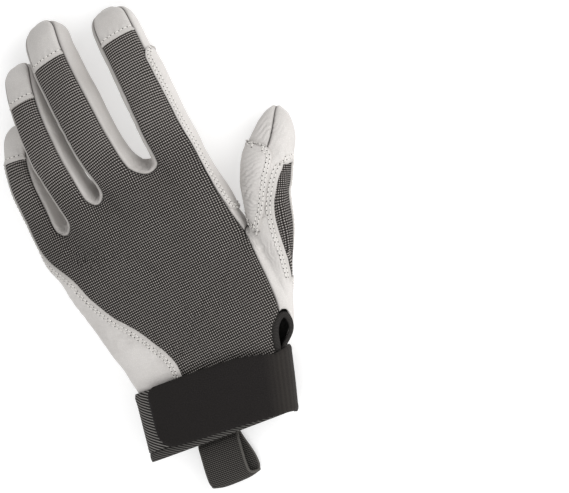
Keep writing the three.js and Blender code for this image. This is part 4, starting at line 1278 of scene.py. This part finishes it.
def sewing_tree(name, shape):
    """Geometry nodes that set one shape on every point, turned along the seam."""
    tree = bpy.data.node_groups.new(name, "GeometryNodeTree")
    tree.interface.new_socket("Geometry", in_out="INPUT", socket_type="NodeSocketGeometry")
    for label in ("Length", "Radius"):
        tree.interface.new_socket(label, in_out="INPUT", socket_type="NodeSocketFloat")
    tree.interface.new_socket("Material", in_out="INPUT", socket_type="NodeSocketMaterial")
    tree.interface.new_socket("Geometry", in_out="OUTPUT", socket_type="NodeSocketGeometry")
    given = tree.nodes.new("NodeGroupInput").outputs
    vector = lambda key: tree_node(
        tree, "GeometryNodeInputNamedAttribute", {"Name": key}, data_type="FLOAT_VECTOR"
    ).outputs["Attribute"]
    turn = tree_node(tree, "FunctionNodeAxesToRotation", {
        "Primary Axis": vector("up"), "Secondary Axis": vector("run"),
    }, primary_axis="Z", secondary_axis="X").outputs["Rotation"]
    copies = tree_node(tree, "GeometryNodeInstanceOnPoints", {
        "Points": given["Geometry"], "Instance": shape(tree, given), "Rotation": turn,
    }).outputs["Instances"]
    real = tree_node(tree, "GeometryNodeRealizeInstances", {"Geometry": copies}).outputs["Geometry"]
    finished = tree_node(tree, "GeometryNodeSetMaterial", {"Geometry": real, "Material": given["Material"]})
    tree.links.new(finished.outputs["Geometry"], tree.nodes.new("NodeGroupOutput").inputs[0])
    return tree


def sew(name, shape, length, radius, material):
    """Makes all the stitches or needle holes from their places."""
    mesh = bpy.data.meshes.new(name + "_places")
    mesh.from_pydata([tuple(centre) for centre, _, _ in places[name]], [], [])
    for key, column in (("run", 1), ("up", 2)):
        values = np.array([place[column] for place in places[name]], np.float32)
        mesh.attributes.new(key, "FLOAT_VECTOR", "POINT").data.foreach_set("vector", values.ravel())
    carrier = add_object(name + "_places", mesh)
    modifier = carrier.modifiers.new("sewing", "NODES")
    modifier.node_group = sewing_tree(name, shape)
    given = {"Length": length, "Radius": radius, "Material": material}
    for item in modifier.node_group.interface.items_tree:
        if item.in_out == "INPUT" and item.name in given:
            modifier[item.identifier] = given[item.name]
    sewn = bpy.data.meshes.new_from_object(carrier.evaluated_get(bpy.context.evaluated_depsgraph_get()))
    bpy.data.objects.remove(carrier)
    sewn.transform(Matrix.Scale(MM, 4) @ Matrix.Translation(Vector(SHIFT)))
    hand_over(name, sewn)


def stitch_row(bvh, line, inward, distance, trim=1.0):
    """Lays stitches on a surface along a line moved inward by a distance."""
    spots = [bvh.find_nearest(Vector(p + way * distance))[0] for p, way in zip(line, inward)]
    co = np.array([np.array(spot) for spot in spots if spot is not None])
    if len(co) < 4:
        return
    relax(co, 3)
    sums = running_length(co)
    total = sums[-1] - 2 * trim
    if total < 2 * STITCH_PITCH:
        return
    count = int(total // STITCH_PITCH)
    at = lambda s: along_line(s, sums, co)
    for n in range(count):
        for kind, shift in (("stitches", 0.5), ("needle_holes", 1.0)):
            middle = trim + (n + shift) * total / count
            spot, normal, _, _ = bvh.find_nearest(Vector(at(middle)))
            places[kind].append((np.array(spot), unit(at(middle + 0.6) - at(middle - 0.6)), np.array(normal)))


# The panels of the skin
LAP_REACH = 0.8
# How much painted shade darkens the fourchettes between the fingers
FORK_SHADE = 0.5
SHORT_SEAM = 6
PROBE = 3
surfaces = {}
for number, name in enumerate(panel_names):
    chosen = skin_quads[skin_panel == number]
    used = np.unique(chosen)
    place = np.full(len(skin), -1)
    place[used] = np.arange(len(used))
    polys = place[chosen]
    outer = (skin + skin_normals * panel_move(name)[:, None])[used]
    normals = vertex_normals(outer, polys)
    laps = {v for pair, line, _ in seam_lines if pair in LAPS and LAPS[pair][0] == name for v in line}
    outward = {}
    for a, b in border_edges(polys):
        push = unit(np.cross(outer[b] - outer[a], normals[a]))
        for v in (a, b):
            if int(used[v]) in laps:
                outward.setdefault(v, []).append(push)
    for v, pushes in outward.items():
        outer[v] += unit(np.sum(pushes, axis=0)) * LAP_REACH
    kind = "cloth" if name in CLOTH_PANELS else "leather"
    finish = [CLOTH, INSIDE_SHADE, CLOTH] if kind == "cloth" else [LEATHER, INSIDE_SHADE, SUEDE]
    # Painted shade: darker near every seam, in crease valleys and on the fourchettes between the fingers
    crease = np.clip(-base_move[used] - 0.25, 0, 1)
    fork_shade = FORK_SHADE if name.startswith("fourchette") else 0
    wear = np.clip(0.55 * hump(seam_distance[used], 1.0) + 0.5 * crease + fork_shade, 0, 1)
    marks = {"wear": wear, "seam": groove_distance[used]}
    wall(f"{name}_{kind}", outer, polys, WALL, finish, name, skin_weave[used], normals, marks)
    surfaces[name] = (BVHTree.FromPolygons(outer.tolist(), polys.tolist()), outer, normals, place)

for pair, line, arc in seam_lines:
    if pair not in LAPS or arc[-1] < SHORT_SEAM:
        continue
    top, _, rows = LAPS[pair]
    bvh, outer, normals, place = surfaces[top]
    ids = place[line]
    co = outer[ids]
    tangents = units(np.gradient(co, axis=0))
    inward = units(np.cross(normals[ids], tangents))
    probe = lambda sign: sum(bvh.find_nearest(Vector(p))[3] for p in co + sign * PROBE * inward)
    if probe(1) > probe(-1):
        inward = -inward
    for row in rows:
        stitch_row(bvh, co, inward, row + LAP_REACH)


# Guards lie on a strip of the skin: rows along a digit, columns round it
def strip_ids(name):
    rings = rings_of[name]
    if name == "index":
        hand = [
            [*row["back"][HAND - 2:], *row["radial"], *row["palm"][HAND: HAND - 5: -1]]
            for row in high_rows[:-1]
        ]
        return np.array(hand + [[ring[k] for k in range(2, 13)] for ring in rings]), 2
    hand = [[*row["palm"][4::-1], *reversed(row["ulnar"]), *row["back"][:3]] for row in high_rows[:-1]]
    return np.array(hand + [[ring[k % RING] for k in range(8, 19)] for ring in rings]), 8


# Guards: corner radii, then rows of a place along with two across (mm and degrees round the thumb)
GUARDS = {
    "index_guard": dict(strip="index", corner=(5, 7), rows=(
        (1.0, 4.2, 9.6), (2.0, 4.0, 10), (4.5, 3.85, 10), (7.0, 3.7, 10), (8.6, 3.45, 10), (9.9, 3.4, 10))),
    "pinky_guard": dict(strip="pinky", corner=(5, 6), rows=(
        (0.0, 10.3, 13.6), (5.0, 10.2, 14), (10.0, 10.1, 14))),
    "thumb_guard": dict(strip=None, corner=(5, 6), rows=(
        (-11, 128, 112), (-8, 140, 108), (-4, 160, 100), (0, 180, 93), (5, 196, 85), (12, 205, 77),
        (22, 206, 69), (31, 206, 68))),
}
SKIN_BVH = BVHTree.FromPolygons(
    (skin + skin_normals * (base_move * on_floor)[:, None]).tolist(), skin_quads.tolist()
)
GUARD_REACH = 25
GUARD_HEIGHT = 1.15
GUARD_ALONG = 120
GUARD_ROUND = 56
GUARD_EDGE = 0.5
GUARD_DIP = 0.22
GUARD_PUFF = 0.22
GUARD_RIPPLE = ((6, 0.12),)
GUARD_CORNER = 0.48
GUARD_TRIALS = 80
CHORD_PARTS = 8


def basis(t):
    return np.array(((1 - t) ** 3, 3 * t**3 - 6 * t**2 + 4, -3 * t**3 + 3 * t**2 + 3 * t + 1, t**3)) / 6


def on_strip(grid, r, c):
    i = int(min(max(r, 1), grid.shape[0] - 3))
    j = int(min(max(c, 1), grid.shape[1] - 3))
    block = grid[i - 1: i + 3, j - 1: j + 3]
    return np.einsum("i,j,ijk->k", basis(r - i), basis(c - j), block)


def on_thumb(along, angle):
    """The skin round the thumb's axis, whose line is straight below the root."""
    centre, ahead, side, up = thumb.frame(min(1, max(0, along / thumb.way.length)))
    centre = centre + ahead * min(0, along)
    turn = math.radians(angle)
    hit = SKIN_BVH.ray_cast(Vector(centre), Vector(side * math.cos(turn) + up * math.sin(turn)), GUARD_REACH)[0]
    return np.array(hit if hit is not None else SKIN_BVH.find_nearest(Vector(centre))[0])


for name, spec in GUARDS.items():
    rows = np.array(spec["rows"])
    edge_at = lambda r, column: float(np.interp(r, rows[:, 0], rows[:, column]))
    place = on_thumb
    if spec["strip"]:
        ids, first = strip_ids(spec["strip"])
        place = lambda r, c, grid=control[ids], first=first: on_strip(grid, r, c - first)
    r_of = np.linspace(rows[0, 0], rows[-1, 0], GUARD_TRIALS)
    sums = running_length([place(r, (edge_at(r, 1) + edge_at(r, 2)) / 2) for r in r_of])
    total = sums[-1]
    low_corner, high_corner = spec["corner"]
    sheet = np.zeros((GUARD_ALONG + 1, GUARD_ROUND + 1, 3))
    for i in range(GUARD_ALONG + 1):
        s = total * eased(i / GUARD_ALONG)
        r = float(np.interp(s, sums, r_of))
        start = edge_at(r, 1)
        end = edge_at(r, 2)
        chord = [place(r, lerp(start, end, k / CHORD_PARTS)) for k in range(CHORD_PARTS + 1)]
        width = float(running_length(chord)[-1])
        cut = 0.0
        for radius, left in ((low_corner, s), (high_corner, total - s)):
            radius = min(radius, width * GUARD_CORNER)
            if left < radius:
                cut = max(cut, radius - math.sqrt(max(0.0, radius**2 - (radius - left) ** 2)))
        trim = cut / width
        for j in range(GUARD_ROUND + 1):
            c = lerp(start, end, trim + (1 - 2 * trim) * j / GUARD_ROUND)
            sheet[i, j] = SKIN_BVH.find_nearest(Vector(place(r, c)))[0]
    for _ in range(2):
        sheet[1:-1, 1:-1] = (
            4 * sheet[1:-1, 1:-1] + sheet[:-2, 1:-1] + sheet[2:, 1:-1] + sheet[1:-1, :-2] + sheet[1:-1, 2:]
        ) / 8
    co = sheet.reshape(-1, 3)
    grid = np.arange(len(co)).reshape(GUARD_ALONG + 1, GUARD_ROUND + 1)
    polys = grid_polys(grid)
    normals = vertex_normals(co, polys)
    rim = [*grid[0], *grid[1:, -1], *grid[-1, -2::-1], *grid[-2:0:-1, 0]]
    edge_tree = point_tree(list(enumerate(co[rim])))
    from_edge = np.array([edge_tree.find(p)[2] for p in co])
    folds = creased(co, normals)
    dips = sum(hump(from_edge - row, ROW_WIDTH) for row in DOUBLE_ROW)
    height = GUARD_HEIGHT - GUARD_EDGE * hump(from_edge, 0.8) - GUARD_DIP * dips
    height += GUARD_PUFF * smooth((from_edge - 3.5) / 4) + swelling(co, GUARD_RIPPLE) + 0.5 * folds
    outer = co + normals * height[:, None]
    normals = vertex_normals(outer, polys)
    # Painted shade on the guards: darker along their sunken rim and in their fold valleys
    wear = np.clip(0.5 * hump(from_edge, 0.6) - 0.5 * folds, 0, 1)
    marks = {"wear": wear, "seam": np.full(len(outer), FAR)}
    wall(f"{name}_leather", outer, polys, GUARD_WALL - 0.1, [LEATHER, SUEDE, SUEDE], name,
         np.zeros((len(outer), 2)), normals, marks)
    bvh = BVHTree.FromPolygons(outer.tolist(), polys.tolist())
    ring = outer[rim + rim[:1]]
    ring = ring[np.concatenate(((True,), np.linalg.norm(np.diff(ring, axis=0), axis=1) > 0.05))]
    ring_normals = np.array([np.array(bvh.find_nearest(Vector(p))[1]) for p in ring])
    inward = units(np.cross(ring_normals, units(np.gradient(ring, axis=0))))
    for row in DOUBLE_ROW:
        stitch_row(bvh, ring, inward, row, trim=0.2)


def band(name, count, across, place, thickness, finish, node):
    """A wall whose outer side is a grid, with a place in the world and one in the weave for each point."""
    made = [place(i, j / across) for i in range(count + 1) for j in range(across + 1)]
    co = np.array([spot for spot, _ in made])
    polys = grid_polys(np.arange(len(co)).reshape(count + 1, across + 1))
    uv = np.array([woven for _, woven in made])
    wall(name, co, polys, thickness, finish, node, uv, vertex_normals(co, polys))


# The ribbed cuff
SLIT_ANGLE = math.degrees(math.asin((CUFF_SLIT / CUFF_DEPTH) ** (CUFF_SHARPNESS / 2)))
HEM_TOP = HEM_Y + HEM_HEIGHT
CUFF_ROUND = 420
CUFF_ACROSS = 84
CUFF_RIB = 1.35
CUFF_RIDGE = 0.24
CUFF_SUNK = 0.3
CUFF_ROLL = 0.5
CUFF_GATHER = 0.25
CUFF_SLANT = math.radians(27)
HEM_ACROSS = 12
HEM_SUNK = 0.45
HEM_BULGE = 0.35


def even_angles(start, end, count):
    """Angles round the cuff at even steps of its length."""
    trial = np.linspace(start, end, 400)
    sums = running_length([cuff_point(a, 0, 0) for a in trial])
    steps = np.linspace(0, sums[-1], count + 1)
    return np.interp(steps, sums, trial), steps


angles, arcs = even_angles(SLIT_ANGLE, 360 - SLIT_ANGLE, CUFF_ROUND)


def cuff_place(i, share):
    arc = arcs[i]
    top = cuff_edge(angles[i])
    y = lerp(HEM_TOP + SEAM_GAP, top, share)
    phase = (-arc * math.sin(CUFF_SLANT) + y * math.cos(CUFF_SLANT)) / CUFF_RIB
    rib = CUFF_RIDGE * abs(math.cos(math.pi * phase)) ** 0.8
    gather = CUFF_GATHER * math.sin(arc * 0.9) * hump(top - y - 2.5, 2)
    out = rib - CUFF_SUNK - CUFF_ROLL * hump(top - y, 0.8) + gather
    return cuff_point(angles[i], y, out), (arc, phase)


def hem_place(i, share):
    bulge = HEM_BULGE * math.sin(math.pi * share) - HEM_SUNK
    woven = (arcs[i], HEM_HEIGHT * share - arcs[i] * math.tan(CUFF_SLANT))
    return cuff_point(angles[i], lerp(HEM_Y, HEM_TOP, share), bulge), woven


band("cuff_elastic", CUFF_ROUND, CUFF_ACROSS, cuff_place, CUFF_WALL - 0.35, [ELASTIC, INSIDE_SHADE, ELASTIC],
     "cuff")
band("cuff_hem_tape", CUFF_ROUND, HEM_ACROSS, hem_place, HEM_WALL - HEM_SUNK, [HEM, INSIDE_SHADE, HEM],
     "cuff_hem")

# The strap with its rounded end
strap_share = (CUFF_WIDTH - 2 * STRAP_END) / CUFF_WIDTH
STRAP_TO = math.degrees(math.acos(-(strap_share ** (CUFF_SHARPNESS / 2))))
wrap_share = min(1, (CUFF_SLIT / 2 + STRAP_WRAP) / CUFF_DEPTH)
STRAP_FROM = -math.degrees(math.asin(wrap_share ** (CUFF_SHARPNESS / 2)))
STRAP_OVER = 0.6
STRAP_WAVE = 0.1
STRAP_CORNERS = (10, 5)
STRAP_ROUND = 180
STRAP_ACROSS = 40
angles, arcs = even_angles(STRAP_FROM, STRAP_TO, STRAP_ROUND)
def strap_place(i, share):
    to_end = arcs[-1] - arcs[i]
    cut, top_cut = [r - math.sqrt(r**2 - max(0.0, r - to_end) ** 2) for r in STRAP_CORNERS]
    turned = (angles[i] - STRAP_TO) / (STRAP_FROM - STRAP_TO)
    low = HEM_Y + lerp(STRAP_RISE + 1, -STRAP_DROP, turned) + cut
    high = cuff_edge(angles[i]) + STRAP_OVER - top_cut
    y = lerp(low, high, eased(share))
    from_edge = min(y - low, high - y, to_end if cut else FAR)
    edge = 0.5 * hump(from_edge, 0.7) - 0.12 * hump(from_edge - 2.2, 0.9)
    wavy = STRAP_WAVE * math.sin(arcs[i] * 0.12 + 1) * math.sin(y * 0.16)
    return cuff_point(angles[i], y, SEAM_GAP + STRAP_WALL - edge + wavy), (to_end, y)


band("strap_hook_and_loop", STRAP_ROUND, STRAP_ACROSS, strap_place, STRAP_WALL - 0.2, [STRAP, INSIDE_SHADE, STRAP],
     "strap")

# The bound edge of the vent
VENT_INSET = 1.1
VENT_HALF = (1.6, 1.2)
VENT_HIGH = 1.25
VENT_RIDGE = 0.12
VENT_SIDES = 14
VENT_STEPS = 90
VENT_ROUNDING = 70
vent_sides = [[row["back"][HAND] for row in low_rows[1: VENT_ROWS + 1]],
              [row["thumb"][0] for row in low_rows[1: VENT_ROWS + 1]]]
all_normals = vertex_normals(target, quads)
halfway = lambda rows, ids: (rows[ids[-2]] + rows[ids[-1]]) / 2
vent_parts = []
for rows in (target, all_normals):
    left, right = ([*(rows[i] for i in ids[:-1]), halfway(rows, ids)] for ids in vent_sides)
    vent_parts.append([*left, rows[low_rows[VENT_ROWS]["back_web"]], *right[::-1]])
vent_edge, knot_normals = vent_parts
heart = np.mean(vent_edge, axis=0)
knots = []
for n, (here, normal) in enumerate(zip(vent_edge, knot_normals)):
    before = vent_edge[max(0, n - 1)]
    after = vent_edge[min(len(vent_edge) - 1, n + 1)]
    inward = unit(np.cross(normal, unit(after - before)))
    if np.dot(inward, heart - here) < 0:
        inward = -inward
    knots.append(here + inward * VENT_INSET)
vent_way = Path(knots)
normal_way = Path(knot_normals)
vent_line = np.array([vent_way.at(i / VENT_STEPS) for i in range(VENT_STEPS + 1)])
relax(vent_line, VENT_ROUNDING)
section = np.zeros((VENT_STEPS + 1, VENT_SIDES, 3))
vent_uv = np.zeros((VENT_STEPS + 1, VENT_SIDES, 2))
for i in range(VENT_STEPS + 1):
    share = i / VENT_STEPS
    centre = vent_line[i]
    ahead = unit(vent_line[min(i + 1, VENT_STEPS)] - vent_line[max(i - 1, 0)])
    up = unit(normal_way.line[int(share * (len(normal_way.line) - 1))])
    side = unit(np.cross(ahead, up))
    half = lerp(*VENT_HALF, float(smooth(share)))
    for k in range(VENT_SIDES):
        turn = 2 * math.pi * k / VENT_SIDES
        ridge = 1 + VENT_RIDGE * math.cos(2 * turn)
        section[i, k] = centre + side * half * math.cos(turn) * ridge + up * (VENT_HIGH * math.sin(turn) + 0.1)
        vent_uv[i, k] = (half * turn, share * vent_way.length)
grid = np.arange((VENT_STEPS + 1) * VENT_SIDES).reshape(VENT_STEPS + 1, VENT_SIDES)
vent_polys = grid_polys(np.hstack((grid, grid[:, :1])))[:, [0, 3, 2, 1]].tolist()
vent_polys += [grid[0], grid[-1, ::-1]]
make_piece("vent_binding_tape", section.reshape(-1, 3), vent_polys, [BINDING], "vent_binding",
           vent_uv.reshape(-1, 2))

# The pull loop
LOOP_END = HEM_Y - LOOP_REACH
LOOP_RADIUS = LOOP_OPENING / 2
TUCK_HEIGHT = CUFF_FLOOR + HEM_WALL + SEAM_GAP + TUCK_RISE
LOOP_STEPS = 220
LOOP_ACROSS = 24
way = [(lerp(HEM_Y + WEBBING_PATCH, LOOP_END + LOOP_RADIUS, i / 6), WEBBING_WALL) for i in range(7)]
for turn in range(30, 181, 30):
    s = math.sin(math.radians(turn))
    c = math.cos(math.radians(turn))
    way.append((LOOP_END + LOOP_RADIUS * (1 - s), WEBBING_WALL + LOOP_RADIUS * (1 - c)))
way += [
    (LOOP_END + LOOP_REACH * LOOP_RISE, WEBBING_WALL + LOOP_OPENING),
    (HEM_Y - 2 * WEBBING_WALL, TUCK_HEIGHT + WEBBING_WALL),
    (HEM_Y - SEAM_GAP, TUCK_HEIGHT),
    (HEM_Y + WEBBING_TUCK, TUCK_HEIGHT),
]
loop_way = Path([(0, y, z) for y, z in way])


def loop_place(i, share_across):
    share = i / LOOP_STEPS
    ahead = loop_way.ahead(share)
    out = np.array((0, ahead[2], -ahead[1]))
    sideways = (
        3.8 * float(smooth((share - 0.3) / 0.22)) - 4.8 * float(smooth((share - 0.54) / 0.15))
        + 1.0 * float(smooth((share - 0.72) / 0.16))
    )
    across = WEBBING_WIDTH * (0.5 - share_across)
    thin = 0.3 * hump(WEBBING_WIDTH / 2 - abs(across), 0.8)
    bowed = 1.6 * (2 * across / WEBBING_WIDTH) ** 4 + 0.7 * across / WEBBING_WIDTH
    moved = np.array((LOOP_CENTRE + across + sideways, hump(share - 0.62, 0.06) * bowed, 0))
    return loop_way.at(share) + moved + out * (WEBBING_WALL - thin), (across, share * loop_way.length)


band("pull_loop_webbing", LOOP_STEPS, LOOP_ACROSS, loop_place, WEBBING_WALL - 0.1, [WEBBING, WEBBING, WEBBING],
     "pull_loop")

sew("stitches", stitch_shape, STITCH_LENGTH, THREAD_RADIUS, THREAD)
sew("needle_holes", hole_shape, 0.0, HOLE_RADIUS, HOLE_SHADE)

# The floor, the lights and the camera
FLOOR = 4.0
FLOOR_GLOW = 0.42
WORLD_LIGHT = 0.56
floor_mesh = bpy.data.meshes.new("floor")
corners = [(x * FLOOR, y * FLOOR, 0) for x, y in ((-1, -1), (1, -1), (1, 1), (-1, 1))]
floor_mesh.from_pydata(corners, [], [(0, 1, 2, 3)])
floor = add_object("floor", floor_mesh)
floor_finish = plain_material("floor", (0.70, 0.70, 0.70), (0.72, 0.72, 0.72), 0.9, 3.0, 0.0)
floor_shader = floor_finish.node_tree.nodes["Principled BSDF"]
floor_shader.inputs["Emission Color"].default_value = (1, 1, 1, 1)
floor_shader.inputs["Emission Strength"].default_value = FLOOR_GLOW
floor_mesh.materials.append(floor_finish)

LENS = 300.0
SENSOR = 36.0
PHOTO_SCALE = 0.5
PHOTO_WIDTH = 569
TILT = math.radians(20)
TURN = math.radians(21)
LOOK_AT = (58.8, 71.6, -1.4)
over = Vector((math.sin(TILT), 0, math.cos(TILT)))
flat_right = Vector((math.cos(TILT), 0, -math.sin(TILT)))
flat_up = Vector((0, 1, 0))
right = flat_right * math.cos(TURN) - flat_up * math.sin(TURN)
up = flat_right * math.sin(TURN) + flat_up * math.cos(TURN)
distance = PHOTO_WIDTH * PHOTO_SCALE * LENS / SENSOR * MM
spot = Vector(place_in_world(np.array(LOOK_AT))) + over * distance
camera_data = bpy.data.cameras.new("camera")
camera_data.lens = LENS
camera_data.sensor_width = SENSOR
camera_data.clip_start = 0.01
camera = add_object("camera", camera_data)
camera.matrix_world = Matrix((
    (right.x, up.x, over.x, spot.x),
    (right.y, up.y, over.y, spot.y),
    (right.z, up.z, over.z, spot.z),
    (0, 0, 0, 1),
))
bpy.context.scene.camera = camera

LIGHTS = (
    ("key", (0.15, -0.95, 1.0), 1.5, 8.6),
    ("left", (-0.9, -0.1, 0.7), 0.7, 1.7),
    ("right", (0.95, 0.1, 0.5), 0.7, 7.2),
)
for name, place, size, watts in LIGHTS:
    data = bpy.data.lights.new(name, "AREA")
    data.shape = "SQUARE"
    data.size = size
    data.energy = watts
    lamp = add_object(name, data)
    lamp.location = place
    lamp.rotation_euler = (-Vector(place)).to_track_quat("-Z", "Y").to_euler()
world = bpy.data.worlds.new("studio")
world.use_nodes = True
background = world.node_tree.nodes["Background"]
background.inputs["Color"].default_value = (1, 1, 1, 1)
background.inputs["Strength"].default_value = WORLD_LIGHT
bpy.context.scene.world = world
bpy.context.scene.view_settings.view_transform = "Standard"
